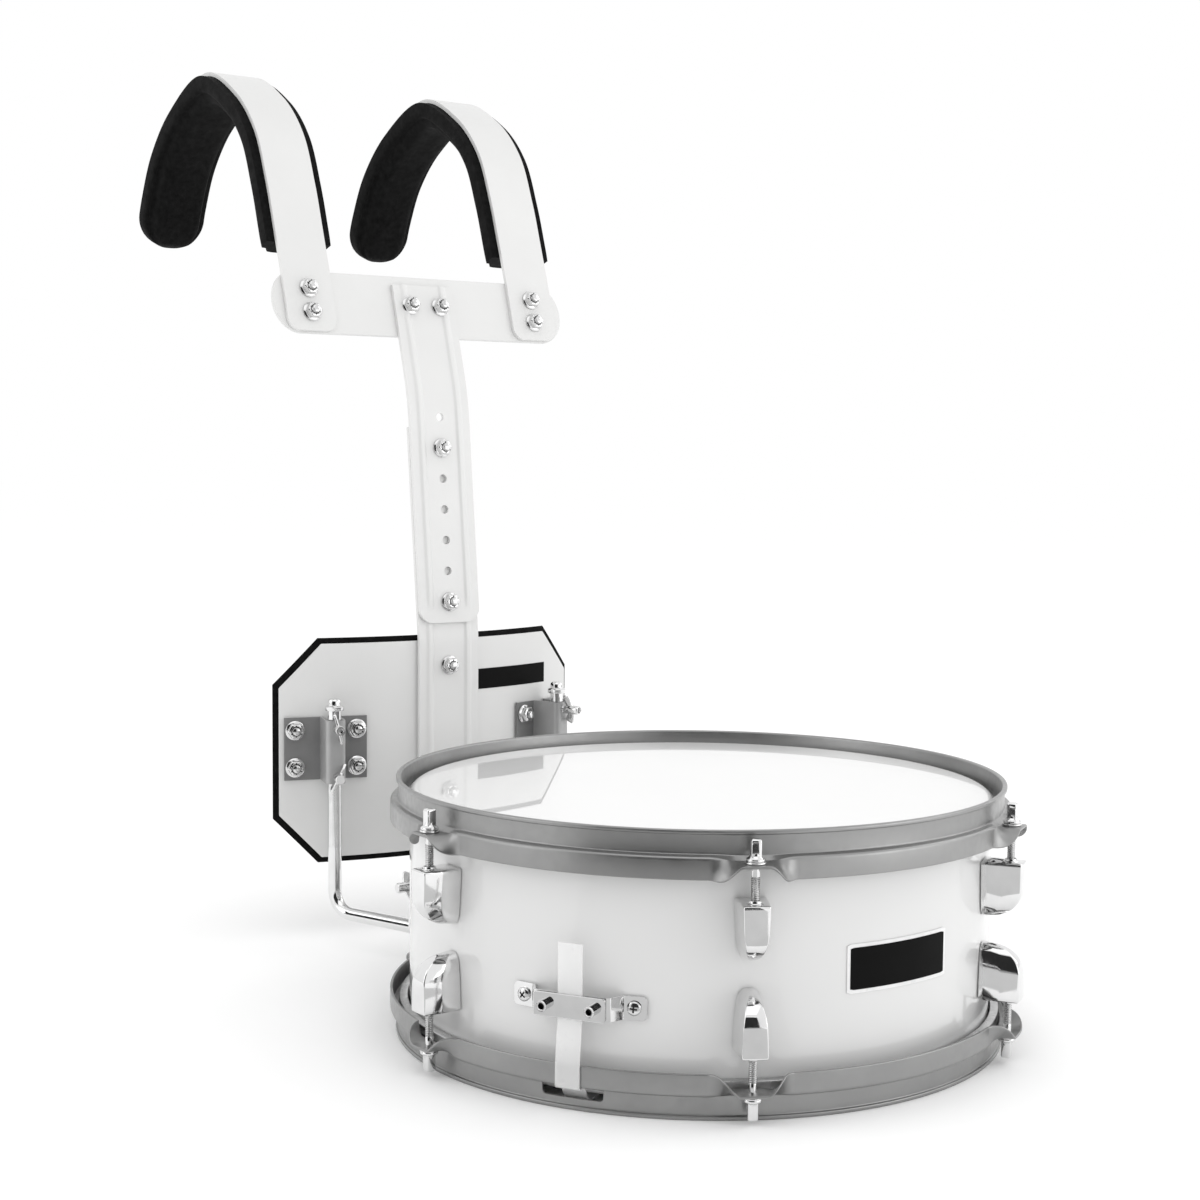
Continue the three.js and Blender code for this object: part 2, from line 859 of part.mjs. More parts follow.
function strainerLever() {
  const inside = cheekInside + strainerSheet + seat;
  const outside = inside + leverSheet;
  const low = leverPivotZ - leverLength;
  const pieces = [-1, 1].map((side) => box(
    Math.min(side * inside, side * outside), Math.max(side * inside, side * outside),
    leverPivotOut - leverArmHalf, leverFrontOut, low, leverPivotZ + leverArmHalf));
  pieces.push(box(-outside, outside, leverFrontOut - touch, leverFrontOut + leverSheet, low,
    leverPivotZ - leverFaceDrop));
  const tab = ribbon([
    [leverFrontOut + leverSheet, low + touch],
    [leverFrontOut + leverSheet, low],
    [leverFrontOut + leverSheet + leverTabKick, low - leverTabLength],
  ], -leverSheet);
  const basis = new THREE.Matrix4().makeBasis(
    new THREE.Vector3(0, 1, 0), new THREE.Vector3(0, 0, 1), new THREE.Vector3(1, 0, 0));
  pieces.push(alongZ(tab, -outside * leverTabShare, outside * leverTabShare).applyMatrix4(basis));
  for (const side of [-1, 1]) {
    pieces.push(bar(leverPinRadius, [side * (cheekInside + touch), leverPivotOut, leverPivotZ],
      [side * (inside + touch), leverPivotOut, leverPivotZ]));
  }
  return join(pieces);
}

function strainerKnob() {
  const shelfTop = cheekHigh + strainerSheet;
  return turned([
    [0, slideHigh + seat],
    [knobStem, slideHigh + seat],
    [knobStem, shelfTop + touch],
    [knobRadius, shelfTop + touch],
    [knobRadius, shelfTop + knobHeight - knobChamfer],
    [knobRadius - knobChamfer, shelfTop + knobHeight],
    [0, shelfTop + knobHeight],
  ], turnedSides).translate(0, leverPivotOut, 0);
}

// A line through corners with its bends rounded
function roundedLine(corners, radius, steps) {
  const points = [corners[0].clone()];
  for (let i = 1; i < corners.length - 1; i += 1) {
    const inWay = corners[i - 1].clone().sub(corners[i]).normalize();
    const outWay = corners[i + 1].clone().sub(corners[i]).normalize();
    const curve = new THREE.QuadraticBezierCurve3(
      corners[i].clone().addScaledVector(inWay, radius), corners[i],
      corners[i].clone().addScaledVector(outWay, radius));
    points.push(...curve.getPoints(steps));
  }
  points.push(corners[corners.length - 1].clone());
  return points;
}

// A round bar along points, with a radius at each
function tube(points, radii, sides) {
  const rings = [];
  let across = new THREE.Vector3(1, 0, 0);
  points.forEach((point, i) => {
    const before = points[Math.max(i - 1, 0)];
    const after = points[Math.min(i + 1, points.length - 1)];
    const along = after.clone().sub(before).normalize();
    across = across.clone().addScaledVector(along, -across.dot(along)).normalize();
    const up = along.clone().cross(across);
    const ring = [];
    for (let j = 0; j < sides; j += 1) {
      const angle = 2 * Math.PI * j / sides;
      ring.push(point.clone().addScaledVector(across, radii[i] * Math.cos(angle))
        .addScaledVector(up, radii[i] * Math.sin(angle)));
    }
    rings.push(ring);
  });
  return loft(rings);
}

// Hanger rod: down from its ring, forward under the hoop and up into its socket
function hangerRod() {
  const corners = [
    new THREE.Vector3(hangerX, hangerY, hangerRingZ),
    new THREE.Vector3(hangerX, hangerY, hangerArmZ),
    new THREE.Vector3(socketX, socketY, hangerArmZ),
    new THREE.Vector3(socketX, socketY, socketRodTop),
  ];
  const bent = roundedLine(corners, hangerBend, bendSteps);
  const levels = [
    [hangerTop, hangerRadius - hangerChamfer],
    [hangerTop - hangerChamfer, hangerRadius],
    [hangerRingZ + hangerRingHeight, hangerRadius],
    [hangerRingZ + hangerRingHeight - touch, hangerRingRadius],
    [hangerRingZ, hangerRingRadius],
    [hangerRingZ - touch, hangerRadius],
  ];
  const top = levels.map(([z]) => new THREE.Vector3(hangerX, hangerY, z));
  const radii = levels.map(([, radius]) => radius);
  const rest = bent.slice(1);
  return tube([...top, ...rest], [...radii, ...rest.map(() => hangerRadius)], tubeSides);
}

// Rod socket: plate on the shell, neck and upright tube, in the drum's own frame at the +X side
const socketRadius = Math.hypot(socketX, socketY);

function rodSocket() {
  const out = socketRadius - shellRadius;
  const tubeRadius = hangerRadius + rodClearance + socketWall;
  const high = socketLow + socketHeight;
  const screws = socketScrewLevels().map((z) => shellScrew(socketPlate).translate(0, 0, z));
  const body = join([
    ...screws,
    box(-socketPlateHalf, socketPlateHalf, seat + touch, seat + touch + socketPlate, socketLow, high),
    box(-socketNeckHalf, socketNeckHalf, seat + touch + socketPlate / 2, out - hangerRadius,
      socketLow + touch, high - touch),
    turned([[0, socketLow], [tubeRadius, socketLow], [tubeRadius, high], [0, high]], turnedSides)
      .translate(0, out, 0),
  ]);
  const placed = onShell(body, socketAzimuth);
  const bore = turned([[0, socketLow - overrun], [hangerRadius + rodClearance, socketLow - overrun],
    [hangerRadius + rodClearance, high + overrun], [0, high + overrun]], tubeSides)
    .translate(socketX, socketY, 0);
  const screw = bar(wingScrewRadius + 2 * seat, [socketX, socketY, socketScrewZ],
    [socketX + tubeRadius + overrun, socketY, socketScrewZ]);
  return cut(placed, [bore, screw]);
}

// Wing screw along +X from its tip, turned to its place by the caller
function wingScrew(threadLength) {
  const collar = threadLength + wingCollarGap;
  const hub = bar(wingHubRadius, [collar, 0, 0], [collar + wingHubLength, 0, 0]);
  const thread = bar(wingScrewRadius, [0, 0, 0], [collar + touch, 0, 0]);
  const wings = [-1, 1].map((side) => {
    const blade = box(-wingWidth / 2, wingWidth / 2, -wingThickness / 2, wingThickness / 2,
      wingHubRadius / 2, wingSpan / 2);
    blade.rotateY(-wingTilt).translate(collar + wingHubLength / 2, 0, 0);
    return side > 0 ? blade : blade.rotateX(Math.PI);
  });
  return join([hub, thread, ...wings]);
}

function socketWingScrew(roll) {
  const tip = hangerRadius + seat;
  return wingScrew(socketWall + socketScrewProud).rotateX(radians(roll)).translate(tip, 0, 0);
}

// Belly plate: a curved sheet with its corners cut off
const plateAxisY = plateFront + plateRadius;

function plateOctagon(margin) {
  const wide = plateHalfWidth + margin;
  const low = plateLow - margin;
  const high = plateHigh + margin;
  const inner = plateHalfWidth - plateCornerWide + margin * cornerMarginShare;
  const lowIn = plateLow + plateCornerHigh - margin * cornerMarginShare;
  const highIn = plateHigh - plateCornerHigh + margin * cornerMarginShare;
  return [
    [-inner, low], [inner, low], [wide, lowIn], [wide, highIn],
    [inner, high], [-inner, high], [-wide, highIn], [-wide, lowIn],
  ];
}

function plateAngle(x) {
  return Math.asin(x / plateRadius);
}

function plateArc(radius, halfWidth, steps) {
  const line = [];
  const limit = plateAngle(halfWidth);
  for (let i = 0; i <= steps; i += 1) {
    const angle = THREE.MathUtils.lerp(-limit, limit, i / steps);
    line.push([radius * Math.sin(angle), plateAxisY - radius * Math.cos(angle)]);
  }
  return line;
}

// From a fitting's frame (x along the plate, y outward to the drum, z up) to the belly plate
function onPlate(geometry, x, z = 0) {
  const angle = plateAngle(x);
  const y = plateAxisY - plateRadius * Math.cos(angle);
  return geometry.clone().rotateZ(Math.PI + angle).translate(x, y, z);
}

const hangerAngle = Math.atan2(hangerX, plateAxisY - hangerY);
const hangerOut = Math.hypot(hangerX, plateAxisY - hangerY) - plateRadius;
const hangerPlateX = plateRadius * Math.sin(hangerAngle);

function bracketBoltPlaces() {
  const places = [];
  for (const wide of [-1, 1]) {
    for (const high of [-1, 1]) {
      places.push([-bracketShift + wide * bracketBoltWide, bracketMiddle + high * bracketBoltHigh]);
    }
  }
  return places;
}

function plateHole(x, z) {
  return bar(boltRadius + seat, [x, -overrun * 2, z], [x, overrun, z], hexSides);
}

function bellyPlate() {
  const wide = plateHalfWidth + overrun;
  const sheet = alongZ(ribbon(plateArc(plateRadius, wide, plateSteps), plateSheet),
    plateLow - overrun, plateHigh + overrun);
  const outline = alongY(plateOctagon(0), plateFront - overrun, plateAxisY);
  const right = bracketBoltPlaces().map(([x, z]) => onPlate(plateHole(x, z), hangerPlateX));
  const middle = [bellyBoltHigh, bellyBoltLow].map((z) => onPlate(plateHole(0, z), 0));
  return cut(common(sheet, outline), [...right, ...right.map(mirrored), ...middle]);
}

// Foam behind the plate: flat against it, crowned on the player's side
function bellyPad() {
  const outline = plateOctagon(foamMargin);
  const middleZ = (plateLow + plateHigh) / 2;
  const edgePoints = [];
  outline.forEach(([x, z], i) => {
    const [nextX, nextZ] = outline[(i + 1) % outline.length];
    const pieces = Math.abs(nextX - x) > plateHalfWidth ? foamLongSteps : foamSteps;
    for (let j = 0; j < pieces; j += 1) {
      edgePoints.push([x + (nextX - x) * j / pieces, z + (nextZ - z) * j / pieces]);
    }
  });
  const back = plateRadius - plateSheet - seat;
  const layer = (scale, depth) => edgePoints.map(([x, z]) => {
    const angle = Math.asin(x * scale / plateRadius);
    const radius = back - depth;
    return new THREE.Vector3(radius * Math.sin(angle), plateAxisY - radius * Math.cos(angle),
      middleZ + (z - middleZ) * scale);
  });
  const frontShares = [0.25, 0.7, 0.985];
  const rings = frontShares.map((share) => layer(share, 0));
  rings.push(layer(1, foamEdge / 2));
  const crownShares = [[0.93, 0.72], [0.82, 0.95], [0.5, 1], [0.25, 1]];
  rings.push(layer(frontShares[2], foamEdge));
  for (const [share, depthShare] of crownShares) rings.push(layer(share, foamCrown * depthShare));
  return loft(rings);
}

// Rod bracket: a hat section on the plate, with its four bolts and flange nuts
function bracketBody() {
  const hollow = hangerRadius + rodClearance;
  const front = hangerOut + hollow;
  const low = bracketMiddle - bracketHeight / 2;
  const left = -bracketHalfWidth - bracketShift;
  const right = bracketHalfWidth - bracketShift;
  const wall = hollow + bracketSheet;
  const outline = [
    [left, touch],
    [-hollow, touch],
    [-hollow, front],
    [hollow, front],
    [hollow, touch],
    [right, touch],
    [right, touch + bracketSheet],
    [wall, touch + bracketSheet],
    [wall, front + bracketSheet],
    [-wall, front + bracketSheet],
    [-wall, touch + bracketSheet],
    [left, touch + bracketSheet],
  ];
  const holes = bracketScrewLevels().map((z) => bar(wingScrewRadius + 2 * seat, [0, front - overrun, z],
    [0, front + overrun, z]));
  const bolts = bracketBoltPlaces().map(([x, z]) => boltAndNut(-plateSheet, touch + bracketSheet)
    .translate(x, 0, z));
  const body = cut(alongZ(outline, low, low + bracketHeight), holes);
  return onPlate(join([body, ...bolts]), hangerPlateX);
}

function bracketScrewLevels() {
  return [bracketMiddle + bracketScrewPitch / 2, bracketMiddle - bracketScrewPitch / 2];
}

function bracketWingScrew(z, roll) {
  const tip = hangerOut + hangerRadius + seat;
  const screw = wingScrew(bracketSheet + rodClearance).rotateX(radians(roll))
    .rotateZ(Math.PI / 2).translate(0, tip, 0);
  return onPlate(screw, hangerPlateX, z);
}

// Bolt with its flange nut along +Y: from its back end, with the nut on a face
function boltAndNut(back, face, headed = false) {
  const end = face + nutHeight + boltProud;
  const flange = face - touch;
  const pieces = [bar(boltRadius, [0, back, 0], [0, end, 0], hexSides), turned([
    [0, flange],
    [nutFlange, flange],
    [nutFlange, face + nutFlangeHeight],
    [nutAcross, face + nutFlangeHeight + touch],
    [nutAcross, face + nutHeight],
    [0, face + nutHeight],
  ], hexSides).rotateX(-Math.PI / 2)];
  if (headed) pieces.push(bar(boltHeadRadius, [0, back - boltHeadHeight, 0], [0, back + touch, 0], hexSides));
  return join(pieces);
}

// Mast strips: a ribbed section swept up a bent line in the YZ plane
function ribbedSection(width, sheet) {
  const half = width / 2;
  const top = ribWidth / 2 - ribSlope;
  const line = [];
  for (const side of [-1, 1]) {
    const shape = [
      [half, 0],
      [ribOffset + ribWidth / 2, 0],
      [ribOffset + top, ribHeight],
      [ribOffset - top, ribHeight],
      [ribOffset - ribWidth / 2, 0],
    ];
    const ordered = side < 0 ? shape : shape.reverse();
    for (const [x, out] of ordered) line.push([side * x, -out]);
  }
  const back = line.slice().reverse().map(([x, out]) => [x, out + sheet]);
  return [...line, ...back];
}

// Points of the bent line: back, up; stations hold the line and its backward normal
function stations(line) {
  return line.map(([y, z], i) => {
    const [y0, z0] = line[Math.max(i - 1, 0)];
    const [y1, z1] = line[Math.min(i + 1, line.length - 1)];
    const along = new THREE.Vector2(y1 - y0, z1 - z0).normalize();
    return { y, z, normal: new THREE.Vector2(along.y, -along.x) };
  });
}

function sweep(line, sectionAt) {
  return loft(stations(line).map(({ y, z, normal }, i) => sectionAt(i).map(([x, depth]) =>
    new THREE.Vector3(x, y + normal.x * depth, z + normal.y * depth))));
}

function narrowed(section, width, half) {
  return section.map(([x, depth]) => [Math.sign(x) * Math.min(Math.abs(x), width * half), depth]);
}

const lowerMastHigh = mastBendHigh - lowerMastBelow;
const crossbarZ = mastBendHigh + crossbarAbove;
const heightBoltSteps = Math.floor((lowerMastHigh - firstHoleZ) / mastHolePitch);
const lowerFront = plateFront - seat - mastSheet;
const upperFront = lowerFront - seat - mastSheet;

function lowerMastLine() {
  const run = (lowerMastHigh - mastBendLow) * Math.tan(radians(mastLean));
  return [
    [lowerFront, lowerMastLow],
    [lowerFront, lowerMastLow + mastEndRound * endRoundShare],
    [lowerFront, lowerMastLow + mastEndRound],
    [lowerFront, mastBendLow],
    [lowerFront + run, lowerMastHigh],
  ];
}

function endWidth(i) {
  const endShares = [0.8, 0.94, 1];
  return i < endShares.length ? endShares[i] : 1;
}

function leanAt(z) {
  return Math.max(0, z - mastBendLow) * Math.tan(radians(mastLean));
}

function slotCut(z, y, length) {
  const half = mastHoleRadius + seat;
  return box(-half, half, y - overrun * 2, y + overrun * 2, z - length - half, z + half);
}

function lowerMast() {
  const section = ribbedSection(mastWidth, mastSheet);
  const half = mastWidth / 2;
  const strip = sweep(lowerMastLine(), (i) => narrowed(section, half, endWidth(i)));
  const cuts = heightBoltLevels().map((z) => slotCut(z, lowerFront + leanAt(z), mastTravel + mastSlotSpare));
  const bolts = [bellyBoltHigh, bellyBoltLow].map((z) => boltAndNut(-plateSheet - seat - mastSheet, 0)
    .rotateZ(Math.PI).translate(0, lowerFront, z));
  return join([cut(strip, cuts), ...bolts]);
}

function heightBoltLevels() {
  return [firstHoleZ, firstHoleZ + heightBoltSteps * mastHolePitch];
}

const bendHighY = upperFront + (mastBendHigh - mastBendLow) * Math.tan(radians(mastLean));
const topY = bendHighY + (crossbarZ - mastBendHigh) * Math.tan(radians(mastTopLean));

function upperMastLine() {
  const lean = Math.tan(radians(mastLean));
  const slope = Math.tan(radians(mastTopLean));
  const straight = (z) => [upperFront + leanAt(z), z];
  const bendY = bendHighY - topBendHalf * lean;
  return [
    straight(upperMastLow),
    straight(upperMastLow + mastEndRound * endRoundShare),
    straight(upperMastLow + mastEndRound),
    [bendY, mastBendHigh - topBendHalf],
    [bendHighY + topBendHalf * (slope - lean) * topBendShare, mastBendHigh],
    [bendHighY + topBendHalf * slope, mastBendHigh + topBendHalf],
    [topY + mastTopAbove * slope, crossbarZ + mastTopAbove],
  ];
}

function upperMast() {
  const section = ribbedSection(mastWidth, mastSheet);
  const half = mastWidth / 2;
  const strip = sweep(upperMastLine(), (i) => narrowed(section, half, endWidth(i)));
  const cuts = [];
  for (let i = 0; i < heightBoltSteps + 2; i += 1) {
    const z = firstHoleZ + i * mastHolePitch;
    const y = upperFront + leanAt(z);
    if (heightBoltLevels().every((level) => Math.abs(level - z) > mastHoleRadius)) {
      cuts.push(bar(mastHoleRadius, [0, y - overrun, z], [0, y + overrun, z]));
    }
  }
  const bolts = heightBoltLevels().map((z) => boltAndNut(-2 * mastSheet - 2 * seat, 0, true)
    .rotateZ(Math.PI).rotateX(-radians(mastLean)).translate(0, upperFront + leanAt(z), z));
  for (const side of [-1, 1]) bolts.push(topBolt(side * mastTopBoltReach, 0, mastSheet));
  return join([cut(strip, cuts), ...bolts]);
}

// Top frame: x across, y back along the crossbar's normal, z up its face, origin on its front face
const crossbarFront = topY + (mastSheet + touch) / Math.cos(radians(mastTopLean));

function inTopFrame(geometry) {
  return geometry.clone().rotateX(-radians(mastTopLean)).translate(0, crossbarFront, crossbarZ);
}

function boltHole(x, z) {
  return bar(boltRadius + seat, [x, -overrun * 2, z], [x, overrun * 2, z], hexSides);
}

// Bolt through the crossbar with its nut in front of a strip and its head behind
function topBolt(x, z, sheet) {
  const face = touch + sheet;
  return inTopFrame(boltAndNut(-crossbarSheet - seat, face, true).rotateZ(Math.PI).translate(x, 0, z));
}

function crossbar() {
  const half = crossbarHeight / 2;
  const straight = crossbarHalf - crossbarEndRadius;
  const outline = new THREE.Shape();
  outline.moveTo(-straight, -half);
  outline.lineTo(straight, -half);
  outline.absellipse(straight, 0, crossbarEndRadius, half, -Math.PI / 2, Math.PI / 2);
  outline.lineTo(-straight, half);
  outline.absellipse(-straight, 0, crossbarEndRadius, half, Math.PI / 2, 3 * Math.PI / 2);
  const sheet = new THREE.ExtrudeGeometry(outline, {
    depth: crossbarSheet, bevelEnabled: false, curveSegments: endCurveSteps,
  });
  sheet.rotateX(Math.PI / 2).translate(0, crossbarSheet, 0);
  const holes = [];
  for (const side of [-1, 1]) {
    holes.push(boltHole(side * mastTopBoltReach, 0));
    for (const z of [hookBoltHigh, hookBoltLow]) holes.push(boltHole(side * hookX, z));
  }
  return inTopFrame(cut(sheet, holes));
}

// Shoulder strap: its outer line rises from the crossbar and arches back over the shoulder
function hookPoints() {
  const start = touch + hookSheet;
  const slope = radians(mastTopLean);
  const onBar = (z) => [
    crossbarFront - start * Math.cos(slope) + z * Math.sin(slope),
    crossbarZ + start * Math.sin(slope) + z * Math.cos(slope),
  ];
  const arch = hookLine.map(([back, up]) => new THREE.Vector2(topY + back, crossbarZ + up));
  const low = onBar(crossbarHeight / 2 + seat);
  const curve = new THREE.SplineCurve([new THREE.Vector2(low[0], low[1]), ...arch]);
  const bend = curve.getSpacedPoints(hookSteps).map((point) => [point.x, point.y]);
  const lowest = [-hookBelow, -hookBelow + hookEndRound * endRoundShare, -hookBelow + hookEndRound];
  return { lowest: lowest.map(onBar), bend };
}

function shoulderStrap(side) {
  const { lowest, bend } = hookPoints();
  const half = hookWidth / 2;
  const section = [[-half, 0], [half, 0], [half, hookSheet], [-half, hookSheet]];
  const strip = sweep([...lowest, ...bend], (i) => narrowed(section, half, endWidth(i)));
  const bolts = [hookBoltHigh, hookBoltLow].map((z) => topBolt(0, z, hookSheet));
  return join([strip, ...bolts]).translate(side * hookX, 0, 0);
}

// Shoulder pad: crowned foam inside the strap, square at the front and round at the back
function padLine() {
  const { bend } = hookPoints();
  const line = bend.filter(([, z], i) => i > bend.length / 2 || z > crossbarZ + padFrontZ);
  const [y1, z1] = line[line.length - 1];
  const [y0, z0] = line[line.length - 2];
  const along = new THREE.Vector2(y1 - y0, z1 - z0).normalize();
  const beyond = (distance) => [y1 + along.x * distance, z1 + along.y * distance];
  const before = padBackOver - padRoundLength;
  return [
    ...line.slice(0, -1),
    ...padRoundShares.map((share) => beyond(before + share * padRoundLength)),
  ];
}

function padSection(width, crown) {
  const rim = Math.min(padEdge, crown);
  const rimShare = 0.7;
  const shoulderShare = 0.52;
  const widthShares = [1, 1, 0.93, 0.72, 0.4];
  const depths = [0, rim * rimShare, rim, (rim + crown) * shoulderShare, crown];
  const shares = widthShares.map((share, k) => [share, depths[k]]);
  const right = shares.map(([x, depth]) => [x * width, depth]);
  const left = shares.slice().reverse().map(([x, depth]) => [-x * width, depth]);
  return [...right, [0, crown], ...left];
}

function shoulderPad(side) {
  const line = padLine();
  const skip = hookSheet + seat;
  const sections = line.map((point, i) => {
    const into = padRoundShares[i - line.length + padRoundShares.length] ?? 0;
    const taper = Math.max(padTipShare, Math.sqrt(1 - into * into));
    return padSection(padHalf * taper, padEdge + (padCrown - padEdge) * taper)
      .map(([x, depth]) => [x, depth + skip]);
  });
  return sweep(line, (i) => sections[i]).translate(side * hookX, 0, 0);
}

// The drum
const model = new THREE.Group();
const drum = new THREE.Group();
const carrier = new THREE.Group();
model.add(drum, carrier);

function add(parent, name, geometry, material) {
  const mesh = new THREE.Mesh(outward(geometry), material.clone());
  mesh.name = name;
  parent.add(mesh);
  return mesh;
}

function addDrumBody() {
  add(drum, 'shell', shell(), materials.lacquer);
  add(drum, 'batter_head', flipped(head()), materials.film);
  add(drum, 'snare_head', head(), materials.film);
  add(drum, 'batter_hoop', flipped(counterHoop()), materials.hoop);
  add(drum, 'snare_hoop', snareHoop(), materials.hoop);
  add(drum, 'badge', badge(), materials.badge);
}

// Lugs and rods are drawn on the batter side and turned over for the snare side
function addTensioning() {
  const lugForm = lug();
  const rodForm = tensionRod();
  for (const batter of [true, false]) {
    const side = batter ? 'batter' : 'snare';
    lugAzimuths.forEach((azimuth, i) => {
      const lugSide = batter ? lugForm : turnedOver(lugForm);
      const mesh = add(drum, `${side}_lug_${i + 1}`, lugSide, materials.chrome);
      const level = batter ? totalHeight - lugEnd : lugEnd;
      mesh.position.copy(polar(shellRadius, azimuth, level));
      mesh.rotation.z = Math.PI + radians(azimuth);
      const rod = add(drum, `${side}_rod_${i + 1}`, batter ? turnedOver(rodForm) : rodForm, materials.chrome);
      const top = batter ? totalHeight - rodCollarTop : rodCollarTop;
      rod.position.copy(polar(rodCircle, azimuth, top));
      rod.rotation.z = radians(azimuth);
    });
  }
}

function turnedOver(geometry) {
  return outward(geometry.clone().scale(1, 1, -1));
}

function addSnares() {
  add(drum, 'snare_wires', snareWires(), materials.steel);
  add(drum, 'butt_strap', onShell(snareStrap(strapTop), buttAzimuth), materials.strap);
  add(drum, 'throw_off_strap', onShell(snareStrap(strainerMiddle + slideHigh + touch), strainerAzimuth),
    materials.strap);
  const butt = (geometry) => onShell(geometry, buttAzimuth, buttMiddle);
  add(drum, 'butt_bracket', butt(buttBracket()), materials.chrome);
  add(drum, 'butt_clamp_bar', butt(buttClampBar()), materials.chrome);
  const strainer = (geometry) => onShell(geometry, strainerAzimuth, strainerMiddle);
  add(drum, 'throw_off_base', strainer(strainerBase()), materials.chrome);
  add(drum, 'throw_off_slide', strainer(strainerSlide()), materials.chrome);
  add(drum, 'throw_off_lever', strainer(strainerLever()), materials.chrome);
  add(drum, 'throw_off_knob', strainer(strainerKnob()), materials.chrome);
}

const sides = [['left', -1], ['right', 1]];

function addHangers() {
  for (const [name, side] of sides) {
    const handed = (geometry) => (side < 0 ? mirrored(geometry) : geometry);
    add(drum, `${name}_rod_socket`, handed(rodSocket()), materials.chrome);
    const wings = socketWingScrew(socketWingRolls[name]);
    const screw = add(drum, `${name}_socket_wing_screw`, wings, materials.chrome);
    screw.position.set(side * socketX, socketY, socketScrewZ);
    screw.rotation.z = side < 0 ? Math.PI : 0;
    add(drum, `${name}_hanger_rod`, handed(hangerRod()), materials.chrome);
  }
}

function addBellyPlate() {
  add(carrier, 'belly_plate', bellyPlate(), materials.powder);
  add(carrier, 'belly_pad', bellyPad(), materials.foam);
  for (const [name, side] of sides) {
    const handed = (geometry) => (side < 0 ? mirrored(geometry) : geometry);
    add(carrier, `${name}_rod_bracket`, handed(bracketBody()), materials.bracket);
    bracketScrewLevels().forEach((z, i) => {
      const level = i === 0 ? 'upper' : 'lower';
      const wings = bracketWingScrew(z, bracketWingRolls[name][i]);
      add(carrier, `${name}_${level}_wing_screw`, handed(wings), materials.chrome);
    });
  }
}

function addHarness() {
  add(carrier, 'lower_mast', lowerMast(), materials.powder);
  add(carrier, 'upper_mast', upperMast(), materials.powder);
  add(carrier, 'crossbar', crossbar(), materials.powder);
  for (const [name, side] of sides) {
    add(carrier, `${name}_shoulder_strap`, shoulderStrap(side), materials.powder);
    add(carrier, `${name}_shoulder_pad`, shoulderPad(side), materials.foam);
  }
}

addDrumBody();
addTensioning();
addSnares();
addHangers();
addBellyPlate();
addHarness();

// Origin on the floor under the middle of the whole
const bounds = new THREE.Box3().setFromObject(model, true);
model.position.set(0, -(bounds.min.y + bounds.max.y) / 2, 0);
model.updateMatrixWorld(true);

export default model;
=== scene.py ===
from math import acos, asin, atan2, cos, degrees, dist, hypot, pi, radians, sin, sqrt, tan

import bmesh
import bpy
import numpy as np
from mathutils import Matrix, Vector


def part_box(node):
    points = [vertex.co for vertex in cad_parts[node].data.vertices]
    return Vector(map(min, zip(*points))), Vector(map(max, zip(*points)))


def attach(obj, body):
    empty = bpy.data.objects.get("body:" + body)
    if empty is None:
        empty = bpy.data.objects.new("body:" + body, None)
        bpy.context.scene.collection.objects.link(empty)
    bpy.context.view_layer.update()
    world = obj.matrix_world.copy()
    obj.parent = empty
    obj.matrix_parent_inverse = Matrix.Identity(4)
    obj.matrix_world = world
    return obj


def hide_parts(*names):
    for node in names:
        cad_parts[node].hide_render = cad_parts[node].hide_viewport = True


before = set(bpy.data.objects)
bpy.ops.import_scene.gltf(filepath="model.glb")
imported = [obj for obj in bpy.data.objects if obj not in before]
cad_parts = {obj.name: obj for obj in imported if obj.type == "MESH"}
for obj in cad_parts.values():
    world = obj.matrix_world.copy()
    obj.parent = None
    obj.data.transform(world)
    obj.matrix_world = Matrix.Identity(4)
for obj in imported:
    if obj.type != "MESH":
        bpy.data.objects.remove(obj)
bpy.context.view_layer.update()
shell_low, shell_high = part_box("shell")
MIDDLE = (shell_low.y + shell_high.y) / 2
SIDES = (-1, 1)
METRES = 0.001
WELD = 1e-6
BEVELLED_FROM = radians(32)

# Lengths are millimetres round the drum's axis, z up from the floor, as in the CAD

# Shell, heads and hoops
SHELL_R, SHELL_WALL, SHELL_LOW, SHELL_HIGH = 176.5, 6, 7.65, 147.35
HEIGHT = 155.0
FILM, FILM_R = 0.3, 177.8
FLESH_R, FLESH_TOP, FLESH_HIGH = 182.7, 15.3, 5.5
SHEET = 1.6
COLLAR_R, COLLAR_OUT, COLLAR_HIGH = 181.7, 183.3, 13.4
LIP_OUT, LIP_HIGH = 1.5, 2.4
SKIRT_R, SKIRT_DROP = 188.3, 12.6
EAR_DROP, EAR_REACH, EAR_SHIFT, EAR_FLAT, EAR_BLEND = 2.8, 13.3, 2.4, 6.4, 18

# Fittings and snare wires
AZIMUTHS = (-150, -90, -30, 30, 90, 150)
ROD_R = 192.2
ROD_OUT = ROD_R - SHELL_R
ROD_KEY = 11.9
LUG_END, LUG_LONG, LUG_DEEP = 37, 32.5, 7.3
BUTT, BUTT_Z, BUTT_HALF = -60, 57, 6.5
STRAINER, STRAINER_Z = 120, 66
WIRES, WIRE_STEP, WIRE_REACH, WIRE_TWIST = 16, 2.6, 140.5, 3.1

